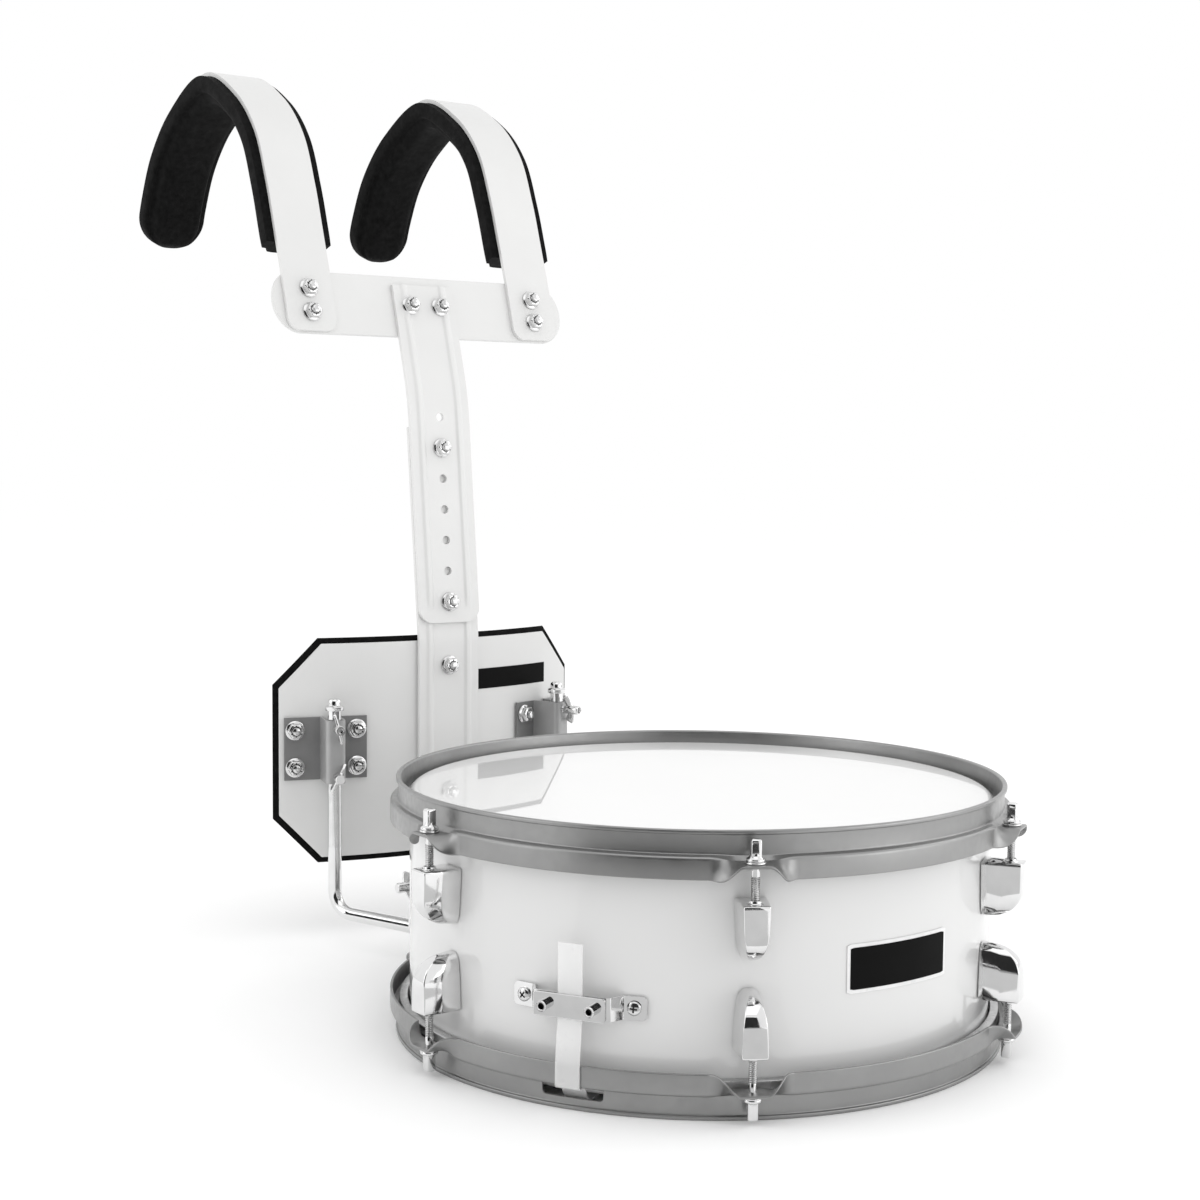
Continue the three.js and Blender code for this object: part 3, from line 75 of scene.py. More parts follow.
# Carrier
HANGER_X, HANGER_Y, HANGER_R = 94.5, 290, 4.75
SOCKET_X, SOCKET_Y = 68, 204
PLATE_R, PLATE_FRONT, PLATE_SHEET = 300, 294, 2
PLATE_AXIS = PLATE_FRONT + PLATE_R
LEAN, TOP_LEAN = radians(6), radians(16.5)
BEND_LOW, BEND_HIGH = 213, 388
MAST_HALF, MAST_SHEET, MAST_GAP, MAST_JOIN = 25, 2.8, 0.3, 366
MAST_BOLTS, HOLE_STEP = (240, 351), 22.2
LOWER_FRONT = PLATE_FRONT - MAST_GAP - MAST_SHEET
UPPER_FRONT = LOWER_FRONT - MAST_GAP - MAST_SHEET
BAR_Z, BAR_SHEET = 453, 3
STRAP_X, STRAP_HALF, STRAP_OUT = 94, 19, 3.1
PAD_HALF, PAD_RIM, PAD_OUT = 25.5, 11.5, 3.3
WING_CLEAR = 0.3
BEND_HIGH_Y = UPPER_FRONT + (BEND_HIGH - BEND_LOW) * tan(LEAN)
TOP_Y = BEND_HIGH_Y + (BAR_Z - BEND_HIGH) * tan(TOP_LEAN)
BAR_FRONT = TOP_Y + 2.9 / cos(TOP_LEAN)


# Forms: points and faces before they become meshes
class Form:
    """Points and faces; each face has the number of its finish."""

    def __init__(self, points, faces, finish=None):
        self.points = np.asarray(points, float).reshape(-1, 3)
        self.faces = faces
        self.finish = finish or [0] * len(faces)

    def moved(self, points):
        return Form(points, self.faces, self.finish)

    def at(self, x=0, y=0, z=0):
        return self.moved(self.points + [x, y, z])

    def turn(self, axis, angle):
        return self.moved(self.points @ np.array(Matrix.Rotation(angle, 3, axis)).T)

    def grown(self, x=1, y=1, z=1):
        faces = [face[::-1] for face in self.faces] if x * y * z < 0 else self.faces
        return Form(self.points * [x, y, z], faces, self.finish)

    def finished(self, number, test=lambda x, y, z: True):
        """Gives the faces whose centre passes the test another finish."""
        finish = [number if test(*self.points[list(face)].mean(0)) else old
                  for face, old in zip(self.faces, self.finish)]
        return Form(self.points, self.faces, finish)


def join(forms):
    points, faces, finish, shift = [], [], [], 0
    for form in forms:
        points.append(form.points)
        faces += [tuple(i + shift for i in face) for face in form.faces]
        finish += form.finish
        shift += len(form.points)
    return Form(np.vstack(points), faces, finish)


def loft(rings, looped=False):
    """Joins rings of equal counts; the ends are closed, or the last ring meets the first."""
    count, total = len(rings[0]), len(rings)
    faces = []
    for i in range(total if looped else total - 1):
        here, there = i * count, (i + 1) % total * count
        for j in range(count):
            k = (j + 1) % count
            faces.append((here + j, here + k, there + k, there + j))
    if not looped:
        faces += [tuple(range(count - 1, -1, -1)), tuple(range((total - 1) * count, total * count))]
    return Form(np.vstack(rings), faces)


def spot(radius, angle, z):
    return (radius * cos(angle), radius * sin(angle), z)


def lathe(profile, steps=48):
    """Turns (radius, z) points about z; rings on the axis are welded to one point later."""
    return loft([[spot(r, 2 * pi * k / steps, z) for k in range(steps)] for r, z in profile])


def turned_loop(profile, steps=192):
    """Turns a closed (radius, z) outline about z into a ring."""
    return loft([[spot(r, 2 * pi * k / steps, z) for r, z in profile] for k in range(steps)], True)


def disc(steps, *profile):
    """A turned solid, closed on its axis at both ends of the profile."""
    return lathe([(0, profile[0][1]), *profile, (0, profile[-1][1])], steps)


def rounded(corners, radii, steps=4, closed=True):
    """A line or outline with its corners rounded, always with the same number of points."""
    radii = radii if isinstance(radii, list) else [radii] * len(corners)
    corners = [np.array(corner, float) for corner in corners]
    out = []
    count = len(corners)
    for i, (corner, radius) in enumerate(zip(corners, radii)):
        if not closed and i in (0, count - 1):
            out.append(tuple(corner))
            continue
        before, after = corners[i - 1] - corner, corners[(i + 1) % count] - corner
        a, b = np.linalg.norm(before), np.linalg.norm(after)
        before, after = before / a, after / b
        turn = acos(max(-1, min(1, -before @ after)))
        reach = min(radius * tan(min(turn, 2.9) / 2), 0.47 * a, 0.47 * b)
        start, end = corner + before * reach, corner + after * reach
        for k in range(steps + 1):
            t = k / steps
            out.append(tuple(start * (1 - t) ** 2 + corner * 2 * t * (1 - t) + end * t * t))
    return out


def ribbon(line, thickness):
    """Outline of a bent sheet: the line thickened to its left."""
    sides = [unit(np.array([a[1] - b[1], b[0] - a[0]])) for a, b in zip(line, line[1:])]
    far = []
    for point, before, after in zip(line, [sides[0], *sides], [*sides, sides[-1]]):
        middle = unit(before + after)
        far.append(tuple(point + middle * thickness / (middle @ before)))
    return line + far[::-1]


def strip(line, thickness, half_wide):
    """A bent sheet along a (y, z) line, half_wide each side of x = 0."""
    return slab(ribbon(line, thickness), -half_wide, half_wide, "X")


def slab(outline, low, high, axis="Z"):
    """A plate with the (u, v) outline: along z it lies in xy, along y in xz, along x in yz."""
    order = {"Z": (0, 1, 2), "Y": (0, 2, 1), "X": (2, 0, 1)}[axis]
    return loft([[tuple((u, v, w)[i] for i in order) for u, v in outline] for w in (low, high)])


def oblong(x0, x1, y0, y1, radii=0, steps=4):
    """A rounded oblong outline, counted from its lower left corner."""
    corners = [(x0, y0), (x1, y0), (x1, y1), (x0, y1)]
    return rounded(corners, radii, steps) if radii else corners


def unit(vector):
    return vector / np.linalg.norm(vector)


def spans(line):
    """The distance gone along a line at each of its points."""
    return [0.0, *np.cumsum([dist(a, b) for a, b in zip(line, line[1:])]).tolist()]


def points_at(line, gone, places):
    """Points of a plane line at the given distances."""
    y, z = np.array(line).T
    return list(zip(np.interp(places, gone, y).tolist(), np.interp(places, gone, z).tolist()))


def along_at(line, i):
    """The direction of a line at its point i."""
    return unit(np.subtract(line[min(i + 1, len(line) - 1)], line[max(i - 1, 0)]))


def tube(points, radius, sides=24, shape=lambda gone, angle: 1):
    """A round bar along points; shape(distance, angle) multiplies its radius."""
    across = np.array([0, 1, 0] if abs(unit(np.subtract(points[1], points[0]))[0]) > 0.9 else [1, 0, 0])
    rings = []
    for i, (point, gone) in enumerate(zip(points, spans(points))):
        along = along_at(points, i)
        across = unit(across - along * (across @ along))
        side = np.cross(along, across)
        ring = []
        for k in range(sides):
            angle = 2 * pi * k / sides
            r = radius * shape(gone, angle)
            ring.append(point + across * r * cos(angle) + side * r * sin(angle))
        rings.append(ring)
    return loft(rings)


def smooth(share):
    share = max(0.0, min(1.0, share))
    return share * share * (3 - 2 * share)


def lerp(a, b, t):
    return a + (b - a) * t


# Places
def polar(radius, azimuth, z):
    angle = radians(azimuth)
    return (radius * sin(angle), -radius * cos(angle), z)


def on_shell(form, azimuth, z=0.0):
    """From a fitting's own frame (x along the shell, y outward, z up) to the shell."""
    return form.turn("Z", pi + radians(azimuth)).at(*polar(SHELL_R, azimuth, z))


def around_drum(form, turn):
    """Turned about the drum's axis from a fitting's own frame."""
    return form.at(y=SHELL_R).turn("Z", turn).at(y=-SHELL_R)


def on_plate(form, x, z=0.0):
    angle = asin(x / PLATE_R)
    return form.turn("Z", pi + angle).at(x, PLATE_AXIS - PLATE_R * cos(angle), z)


def in_top(form):
    """From the crossbar's frame: x across, y back, z up its face, origin on its front."""
    return form.turn("X", -TOP_LEAN).at(0, BAR_FRONT, BAR_Z)


def over(form):
    """Turned over from the snare side to the batter side."""
    return form.grown(z=-1).at(z=HEIGHT)


# Meshes
def linked(name, data):
    """A new object in the scene."""
    thing = bpy.data.objects.new(name, data)
    bpy.context.scene.collection.objects.link(thing)
    return thing


def shade(mesh, crease):
    mesh.shade_smooth()
    mesh.set_sharp_from_angle(angle=radians(crease))


def build_mesh(name, form, bevel=0.0, segments=2):
    mesh = bpy.data.meshes.new(name)
    points = form.points * METRES
    points[:, 1] += MIDDLE
    mesh.from_pydata(points.tolist(), [], form.faces)
    mesh.polygons.foreach_set("material_index", form.finish)
    work = bmesh.new()
    work.from_mesh(mesh)
    bmesh.ops.remove_doubles(work, verts=work.verts, dist=WELD)
    bmesh.ops.recalc_face_normals(work, faces=work.faces)
    if bevel:
        sharp = [edge for edge in work.edges
                 if len(edge.link_faces) == 2 and edge.calc_face_angle(0) > BEVELLED_FROM]
        bmesh.ops.bevel(work, geom=sharp, offset=bevel * METRES, segments=segments, profile=0.5,
                        affect="EDGES", clamp_overlap=True)
    work.to_mesh(mesh)
    work.free()
    return mesh


def carve(thing, form):
    """Cuts a form out of an object and keeps the result as its mesh."""
    tool = linked("cut", build_mesh("cut", form))
    step = thing.modifiers.new("cut", "BOOLEAN")
    step.operation = "DIFFERENCE"
    step.solver = "EXACT"
    step.object = tool
    bpy.context.view_layer.update()
    view = bpy.context.evaluated_depsgraph_get()
    result = bpy.data.meshes.new_from_object(thing.evaluated_get(view))
    thing.modifiers.clear()
    thing.data = result
    bpy.data.objects.remove(tool)


def piece(name, form, materials, body, replaces=None, bevel=0.0, crease=38, cuts=None,
          segments=2):
    """A piece of the look, on its body and in place of a CAD solid if it has one."""
    thing = linked(name, build_mesh(name, form, bevel, segments))
    if cuts:
        carve(thing, cuts)
    shade(thing.data, crease)
    for material in materials if isinstance(materials, list) else [materials]:
        thing.data.materials.append(material)
    if bevel or cuts:
        thing.modifiers.new("normals", "WEIGHTED_NORMAL").keep_sharp = True
    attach(thing, body)
    if replaces:
        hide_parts(replaces)
    return thing


# Materials
SOCKETS = {
    "colour": "Base Color", "metal": "Metallic", "rough": "Roughness", "coat": "Coat Weight",
    "coat_rough": "Coat Roughness", "spec": "Specular IOR Level", "alpha": "Alpha",
    "sheen": "Sheen Weight", "sheen_rough": "Sheen Roughness",
}
NOISE_LOW, NOISE_HIGH = 0.3, 0.7


def opaque(value):
    return (*value, 1) if isinstance(value, tuple) else (value, value, value, 1)


class Paint:
    """A Principled material with noise in its colour, roughness and bump."""

    def __init__(self, name, **sockets):
        self.material = bpy.data.materials.new(name)
        self.material.use_nodes = True
        tree = self.material.node_tree
        self.nodes, self.links = tree.nodes, tree.links
        self.inputs = self.nodes["Principled BSDF"].inputs
        self.place = self.nodes.new("ShaderNodeTexCoord").outputs["Object"]
        for key, value in sockets.items():
            self.inputs[SOCKETS[key]].default_value = opaque(value) if key == "colour" else value

    def node(self, kind, source, socket, **values):
        """A node with its source in one socket and values in others, _ for a space."""
        node = self.nodes.new("ShaderNode" + kind)
        self.links.new(source, node.inputs[socket])
        for name, value in values.items():
            node.inputs[name.replace("_", " ")].default_value = value
        return node

    def noise(self, scale, detail, rough=0.5):
        return self.node("TexNoise", self.place, "Vector", Scale=scale, Detail=detail,
                         Roughness=rough).outputs["Fac"]

    def cells(self, scale):
        return self.node("TexVoronoi", self.place, "Vector", Scale=scale).outputs["Distance"]

    def vary_colour(self, source, low, high):
        node = self.node("ValToRGB", source, "Fac")
        steps = zip(node.color_ramp.elements, (NOISE_LOW, NOISE_HIGH), (low, high))
        for element, position, value in steps:
            element.position, element.color = position, opaque(value)
        self.links.new(node.outputs["Color"], self.inputs["Base Color"])

    def vary_rough(self, source, low, high):
        node = self.node("MapRange", source, "Value", From_Min=NOISE_LOW, From_Max=NOISE_HIGH,
                         To_Min=low, To_Max=high)
        self.links.new(node.outputs["Result"], self.inputs["Roughness"])

    def bump(self, source, height, strength):
        """height in millimetres, over any bump already there"""
        node = self.node("Bump", source, "Height", Strength=strength, Distance=height * METRES)
        normal = self.inputs["Normal"]
        if normal.is_linked:
            self.links.new(normal.links[0].from_socket, node.inputs["Normal"])
        self.links.new(node.outputs["Normal"], normal)


def finish(name, colour, rough, tint, gloss, relief=None, grain=0.5, **sockets):
    """A material from a base colour and roughness and three noises.

    Each noise is given by its scale and detail. tint adds the darkest and lightest colour,
    gloss the lowest and highest roughness, relief its height in mm and its strength.
    """
    paint = Paint(name, colour=colour, rough=rough, **sockets)
    paint.vary_colour(paint.noise(*tint[:2]), *tint[2:])
    paint.vary_rough(paint.noise(*gloss[:2]), *gloss[2:])
    if relief:
        paint.bump(paint.noise(*relief[:2], grain), *relief[2:])
    return paint.material


def steel(name, shade, rough):
    return finish(name, shade, rough, (160, 4, shade * 0.86, shade * 1.06),
                  (500, 5, rough * 0.7, rough * 1.35), (1800, 2, 0.008, 0.3), metal=1.0)


def plated(name, shade):
    return finish(name, shade, 0.42, (50, 4, shade * 0.93, shade * 1.07), (260, 5, 0.34, 0.5),
                  (1500, 3, 0.012, 0.35), metal=0.35, coat=0.15, coat_rough=0.25)


def vinyl(name, shade, rough, spec):
    return finish(name, shade, rough, (60, 3, shade * 0.92, shade * 1.08),
                  (240, 4, rough * 0.8, rough * 1.25), (1200, 3, 0.01, 0.25), spec=spec)


def foam():
    paint = Paint("black_foam", colour=0.005, rough=0.85, sheen=0.02, sheen_rough=0.4, spec=0.1)
    paint.vary_colour(paint.noise(260, 5), 0.0025, 0.0075)
    paint.vary_rough(paint.noise(120, 4), 0.74, 0.95)
    paint.bump(paint.cells(1300), 0.18, 0.55)
    paint.bump(paint.noise(70, 3), 0.5, 0.3)
    return paint.material


LACQUER = finish("white_lacquer", 0.67, 0.3, (9, 2, (0.663, 0.663, 0.661), (0.679, 0.679, 0.676)),
                 (60, 4, 0.29, 0.31), (12, 2, 0.006, 0.03), coat=1.0, coat_rough=0.05, spec=0.4)
FILM_FINISH = finish("head_film", 0.845, 0.3, (14, 3, (0.84, 0.84, 0.838), (0.855, 0.855, 0.852)),
                     (8, 2, 0.28, 0.32), coat=0.9, coat_rough=0.015, spec=0.4)
HOOP = finish("satin_hoop", 0.3, 0.34, (30, 4, (0.29, 0.29, 0.289), (0.32, 0.32, 0.318)),
              (220, 5, 0.28, 0.42), (2200, 2, 0.01, 0.35), metal=0.9, coat=0.1, coat_rough=0.2)
CHROME = finish("chrome", 0.78, 0.045, (120, 3, 0.75, 0.8), (300, 5, 0.027, 0.0855),
                (90, 2, 0.02, 0.12), metal=1.0)
STEEL = steel("bright_zinc", 0.72, 0.14)
THREAD = steel("thread_steel", 0.52, 0.26)
RAW = steel("aluminium_ring", 0.55, 0.35)
# Painted shade: a near-black steel put on socket bores, cross recesses and round the nuts' flanges and bolt
# ends, where shade falls
PAINTED_SHADE = steel("painted_shade_in_recesses", 0.08, 0.4)
BRACKET = plated("grey_plated_bracket", 0.21)
# The channel is the bracket's own plated paint made lighter: a painted highlight for the gloss it catches
PAINTED_HIGHLIGHT_CHANNEL = plated("bracket_channel_painted_highlight", 0.38)
POWDER = finish("white_powder_coat", 0.7, 0.36, (18, 3, (0.69, 0.69, 0.684), (0.712, 0.712, 0.706)),
                (300, 4, 0.3, 0.44), (650, 3, 0.05, 0.3), grain=0.6, coat=0.15, coat_rough=0.2)
FOAM = foam()
STRAP = finish("frosted_strap", 0.93, 0.32, (40, 3, 0.92, 0.95), (200, 4, 0.26, 0.38),
               (900, 3, 0.02, 0.3), alpha=0.4)
BLACK_VINYL = vinyl("black_vinyl", 0.005, 0.35, 0.04)
WHITE_VINYL = vinyl("white_vinyl", 0.76, 0.3, 0.4)
WIRE = steel("snare_wire", 0.6, 0.24)
# The last finish of NUTS and SCREWS is the painted shade
NUTS = [STEEL, THREAD, PAINTED_SHADE]
SCREWS = [STEEL, PAINTED_SHADE]


# Shell: a tube with rounded bearing edges
def make_shell():
    outline = rounded([
        (SHELL_R - SHELL_WALL, SHELL_LOW + 4), (SHELL_R - 2, SHELL_LOW), (SHELL_R, SHELL_LOW + 2),
        (SHELL_R, SHELL_HIGH - 2), (SHELL_R - 2, SHELL_HIGH), (SHELL_R - SHELL_WALL, SHELL_HIGH - 4),
    ], [0.5, 1, 1.5, 1.5, 1, 0.5])
    piece("shell_tube", turned_loop(outline, 256), LACQUER, "drum", "shell")


def make_head(side, place):
    outside, inside, top = SHELL_LOW - 2 * FILM, SHELL_LOW - FILM, FLESH_TOP + FILM
    outer = [(r, outside) for r in (0, 40, 80, 120, 150, 166)] + rounded(
        [(170, outside), (174.2, outside), (FILM_R, outside + 3.4), (FILM_R, top)], [0, 6, 6, 0], 5, False)
    hidden = FILM_R - FILM
    inner = rounded([(hidden, top), (hidden, inside + 3.5), (174.1, inside), (166, inside)],
                    [0, 6, 6, 0], 5, False) + [(0, inside)]
    piece(f"{side}_film", place(lathe(outer + inner, 192)), FILM_FINISH, "drum", f"{side}_head")
    ring = oblong(hidden, FLESH_R, FLESH_TOP, FLESH_TOP + FLESH_HIGH, [0.5, 1.2, 0.8, 0.5], 3)
    piece(f"{side}_flesh_ring", place(turned_loop(ring)), RAW, "drum")


# Counter hoops: rolled lip, collar, flange and a skirt that scoops out to each ear
def hoop_outline(ear):
    angle = ear * pi / 2
    along = np.array([sin(angle), cos(angle)])
    under = np.array([-cos(angle), sin(angle)])
    shoulder = np.array([SKIRT_R - EAR_SHIFT * ear, COLLAR_HIGH + EAR_DROP * ear])
    tip = shoulder + along * lerp(SKIRT_DROP, EAR_REACH, ear)
    lip = COLLAR_OUT + LIP_OUT
    return rounded([
        (COLLAR_R, 0), (lip, 0), (lip, LIP_HIGH), (COLLAR_OUT, LIP_HIGH), (COLLAR_OUT, COLLAR_HIGH),
        shoulder, tip, tip + under * SHEET, shoulder + (-SHEET * (1 - ear), SHEET),
        (COLLAR_R, COLLAR_HIGH + SHEET),
    ], [1.5, 1.1, 0.9, 0.7, 1.2, lerp(2.6, 1.5, ear), 0.7, 0.7, 0.9, 2.2])


def hoop_angles():
    half = 180 / len(AZIMUTHS)
    flat = degrees(EAR_FLAT / ROD_R)
    blend = degrees(EAR_BLEND / ROD_R)
    steps = [(-half + share * (half - flat - blend) / 10, 0.0) for share in range(10)]
    steps += [(-flat - blend * (1 - k / 16), smooth(k / 16)) for k in range(16)]
    steps += [(-flat + 2 * flat * k / 8, 1.0) for k in range(4)]
    return steps + [(0.0, 1.0)] + [(-angle, ear) for angle, ear in steps[:0:-1]]


def make_hoops():
    ring = loft([[polar(r, rod + angle, z) for r, z in hoop_outline(ear)]
                 for rod in AZIMUTHS for angle, ear in hoop_angles()], looped=True)
    slot = slab(oblong(-18, 18, 6.1, 13.3, [2.6, 2.6, 1.2, 1.2], 5), 1, 10.2, "Y")
    slots = join([on_shell(slot, azimuth) for azimuth in (BUTT, STRAINER)])
    piece("snare_side_hoop", ring, HOOP, "drum", "snare_hoop", cuts=slots, crease=46)
    piece("batter_side_hoop", over(ring), HOOP, "drum", "batter_hoop", crease=46)


# Lugs: cast blocks whose faces sweep back to the shell and close in a crest
def lug_ring(share, inset=0.0):
    full = ROD_OUT + LUG_DEEP
    bend = max(0.0, (share - 0.48) / 0.52)
    curve = sqrt(max(0.0, 1 - bend * bend))
    depth = 3.2 + (full - 3.2) * curve
    slim = 1 - 0.3 * share * share
    tip = 1.0 if share < 0.8 else 0.3 + 0.7 * sqrt(max(0.0, 1 - ((share - 0.8) / 0.2) ** 2))
    base = 8.7 * slim * tip
    face = 7.1 * slim * (0.12 + 0.88 * curve ** 0.9) * tip
    corners = [(-base, 0), (base, 0), (lerp(base, face, 0.3), depth * 0.52), (face, depth),
               (0, depth + 0.3 * curve), (-face, depth), (-lerp(base, face, 0.3), depth * 0.52)]
    corners = [(x * (1 - inset / 8), depth / 2 + (y - depth / 2) * (1 - inset / 14)) for x, y in corners]
    outline = rounded(corners, [0.4, 0.4, 30, 1.0, 30, 1.0, 30], 5)
    return [(x, y + 0.3, -share * LUG_LONG) for x, y in outline]


def lug_form():
    rings = [lug_ring(0, 1.0), lug_ring(0.004, 0.45), lug_ring(0.014, 0.12), lug_ring(0.03)]
    rings += [lug_ring(share) for share in np.linspace(0.08, 0.8, 18)]
    rings += [lug_ring(0.8 + 0.2 * sin(k * pi / 28)) for k in range(1, 15)]
    return loft(rings)


def make_lugs():
    body = lug_form()
    nut = turned_loop([(2.3, -0.8), (4.4, -0.6), (4.45, 0.1), (4.2, 0.4), (3.6, 0.5), (3.55, 1.0),
                       (3.4, 1.55), (2.9, 1.75), (2.3, 1.55)], 32).at(y=ROD_OUT)
    for i, azimuth in enumerate(AZIMUTHS, 1):
        for side, turn, level in (("batter", 1, HEIGHT - LUG_END), ("snare", -1, LUG_END)):
            place = lambda form: on_shell(form.grown(z=turn), azimuth, level)
            piece(f"{side}_lug_casting_{i}", place(body), CHROME, "drum", f"{side}_lug_{i}",
                  crease=50)
            piece(f"{side}_swivel_nut_{i}", place(nut), CHROME, "drum")


# Tension rods: square key, flared collar, washer, plain shank and thread
def thread_form(radius, low, high, pitch=1.0, depth=0.3, sides=24):
    count = int((high - low) / pitch * 6)
    points = [(0, 0, lerp(low, high, k / count)) for k in range(count + 1)]

    def shape(gone, angle):
        phase = (gone / pitch - angle / (2 * pi)) % 1
        return 1 - depth / radius * abs(2 * phase - 1)

    return tube(points, radius, sides, shape)


def make_rods():
    key = [(2.0, -8.8, 0.6), (2.45, -8.6, 0.8), (2.72, -8.1, 0.9), (2.8, -7.4, 0.9), (2.8, -0.6, 0.9),
           (2.85, 1, 0.9)]
    key = loft([[(x, y, z) for x, y in oblong(-half, half, -half, half, corner, 3)]
                for half, z, corner in key])
    collar = lathe([(0, -1.4), (2.9, -1.4), (3.05, -0.5), (3.5, 0.4), (4.5, 1.1), (5.0, 1.4),
                    (5.1, 1.8), (5.1, 2.5), (4.9, 2.85), (0, 2.9)], 40)
    washer = turned_loop([(2.5, 3.0), (5.2, 3.0), (5.5, 3.2), (5.6, 3.6), (5.5, 4.0), (5.2, 4.2),
                          (2.5, 4.2)], 40)
    shank = disc(28, (2.4, 3.2), (2.4, 10.6), (2.15, 11.2))
    plain, thread = join([key, collar, washer, shank]), thread_form(2.4, 10.9, 27.5, 1.06, 0.34, 20)
    for i, azimuth in enumerate(AZIMUTHS, 1):
        for side, turn, level in (("batter", -1, HEIGHT - ROD_KEY), ("snare", 1, ROD_KEY)):
            seat = polar(ROD_R, azimuth, level)
            place = lambda form: form.grown(z=turn).turn("Z", radians(azimuth)).at(*seat)
            body = f"{side}_rod_{i}"
            piece(f"{side}_tension_rod_{i}", place(plain), CHROME, body, body, crease=44)
            piece(f"{side}_rod_thread_{i}", place(thread), THREAD, body)


# Badge: a bare black field in a white border, wrapped on the shell
def wrap(half_angle, low, high, inner, outer, corner, steps=32):
    rings = []
    for k in range(steps + 1):
        azimuth = lerp(-half_angle, half_angle, k / steps)
        gone = radians(half_angle - abs(azimuth)) * inner
        cut = 0 if gone >= corner else corner - sqrt(max(0, corner ** 2 - (corner - gone) ** 2))
        rings.append([polar(inner, azimuth, low + cut), polar(outer, azimuth, low + cut),
                      polar(outer, azimuth, high - cut), polar(inner, azimuth, high - cut)])
    return loft(rings)


def make_badge():
    piece("badge_border", wrap(12, 62.2, 89.2, 176.55, 177.2, 0.8), WHITE_VINYL, "drum", "badge",
          bevel=0.15)
    piece("badge_field", wrap(11.35, 64.2, 87.2, 177.0, 177.4, 0.5), BLACK_VINYL, "drum", bevel=0.08)


# Snare wires: coiled strands between two pressed end plates
def make_snares():
    turn = radians(BUTT) - pi / 2
    coil = lambda gone, angle: 0.86 + 0.14 * cos(gone * WIRE_TWIST - angle)
    xs = np.linspace(-WIRE_REACH, WIRE_REACH, 421)
    strands = [tube([(x, WIRE_STEP * (i - (WIRES - 1) / 2), 5.95) for x in xs], 0.8, 7, coil)
               for i in range(WIRES)]
    piece("snare_strands", join(strands).turn("Z", turn), WIRE, "drum", "snare_wires",
          crease=180)
    plates = []
    for side in SIDES:
        line = rounded([(side * 139.5, 4.95), (side * 142.5, 4.95), (side * 144.5, 5.4),
                        (side * 151, 5.4), (side * 153, 6.2)], 1.2, 3, False)
        plates.append(slab(ribbon(line, 0.7 * -side), -22.2, 22.2, "Y").at(z=0.2))
    piece("snare_end_plates", join(plates).turn("Z", turn), STEEL, "drum", bevel=0.15)


def make_straps():
    for side, top, azimuth in (("butt", 91, BUTT), ("throw_off", 75.1, STRAINER)):
        line = rounded([(-36.5, 3.85), (0, 3.85), (6, 12.9), (12.7, 12.9), (12.7, 26.1), (9.8, 50.4),
                        (9.8, top)], [0, 5, 3, 1.5, 30, 30, 0], 6, False)
        piece(f"{side}_side_strap", on_shell(strip(line, -0.5, 7.2), azimuth), STRAP, "drum",
              f"{side}_strap", bevel=0.12)


# Screws seen from the front, along +y from a face at y = 0
def along_y(form):
    return form.turn("X", -pi / 2)


def pan_head(radius, height):
    dome = [(radius * sin(a), height * (0.32 + 0.68 * cos(a))) for a in np.linspace(0.15, pi / 2, 9)]
    return along_y(lathe([(0, 0), (radius * 0.98, 0), *dome[::-1], (0, height)], 36))


def cross_cut(height, reach, arm=0.48):
    """The tool for a cross recess."""
    outline = []
    for c, s in ((1, 0), (0, 1), (-1, 0), (0, -1)):
        outline += [(x * c - y * s, x * s + y * c) for x, y in ((reach, -arm), (reach, arm), (arm, arm))]
    # The recess walls cut by this tool take finish 1, painted shade inside the recess
    return along_y(slab(outline, height - 1.4, height + 1)).finished(1)


def cross_screws(name, body, place, spots, radius=4.0, height=2.4, reach=2.1):
    """Pan heads with cross recesses; spots gives each one's move and the twist of its cross."""
    heads = join([move(pan_head(radius, height)) for move, _ in spots])
    cuts = join([move(cross_cut(height, reach).turn("Y", twist)) for move, twist in spots])
    piece(name, place(heads), SCREWS, body, cuts=place(cuts), crease=30)


def socket_screw(radius=3.0, length=5.5, bore=1.75, deep=3.4):
    screw = along_y(lathe([
        (0, 0), (radius, 0), (radius, length - 0.5), (radius - 0.45, length), (bore + 0.3, length),
        (bore, length - 0.3), (bore, length - deep), (0, length - deep),
    ], 36))
    # The bore's walls and floor take finish 1, painted shade inside the socket
    return screw.finished(1, lambda x, y, z: hypot(x, z) < bore + 0.05 and y > 0.1)


def flange_nut(face, back, headed=False):
    """Bolt along +y with a domed flange, a hexagon with chamfered corners and a proud end."""
    # Finish 2 is painted shade: under the flange, where it meets the face
    under = disc(40, (6.55, 0), (6.65, 0.5)).finished(2)
    flange = disc(40, (6.7, 0.4), (6.95, 0.6), (6.85, 1.0), (6.1, 1.6), (5.2, 1.95))
    rings = []
    for z, reach, share in ((0.8, 5.8, 0.05), (5.2, 5.8, 0.05), (5.7, 5.5, 0.5), (6.0, 4.9, 1.0),
                            (6.0, 3.9, 1.0), (5.1, 3.2, 1.0)):
        ring = []
        for k in range(48):
            angle = 2 * pi * k / 48
            hexagon = reach * cos(pi / 6) / cos((angle % (pi / 3)) - pi / 6)
            radius = lerp(hexagon, min(hexagon, reach * 0.93), share)
            ring.append(spot(radius, angle, z))
        rings.append(ring)
    # Finish 2 paints shade on the hexagon's top round the bolt end
    nut = loft(rings).finished(2, lambda x, y, z: hypot(x, y) < 3.85 and z > 4.9)
    end = thread_form(3.0, 4.5, 7.7).finished(1)
    cap = disc(28, (2.75, 7.5), (2.6, 8.3), (2.0, 8.6))
    shank = disc(24, (3, back - face), (3, 5))
    forms = [under, flange, nut, end, cap, shank]
    if headed:
        head = disc(36, (3.6, -1.9), (4.6, -1.5), (5, -0.7), (5, 0.1))
        forms.append(head.at(z=back - face))
    return along_y(join(forms).at(z=face))


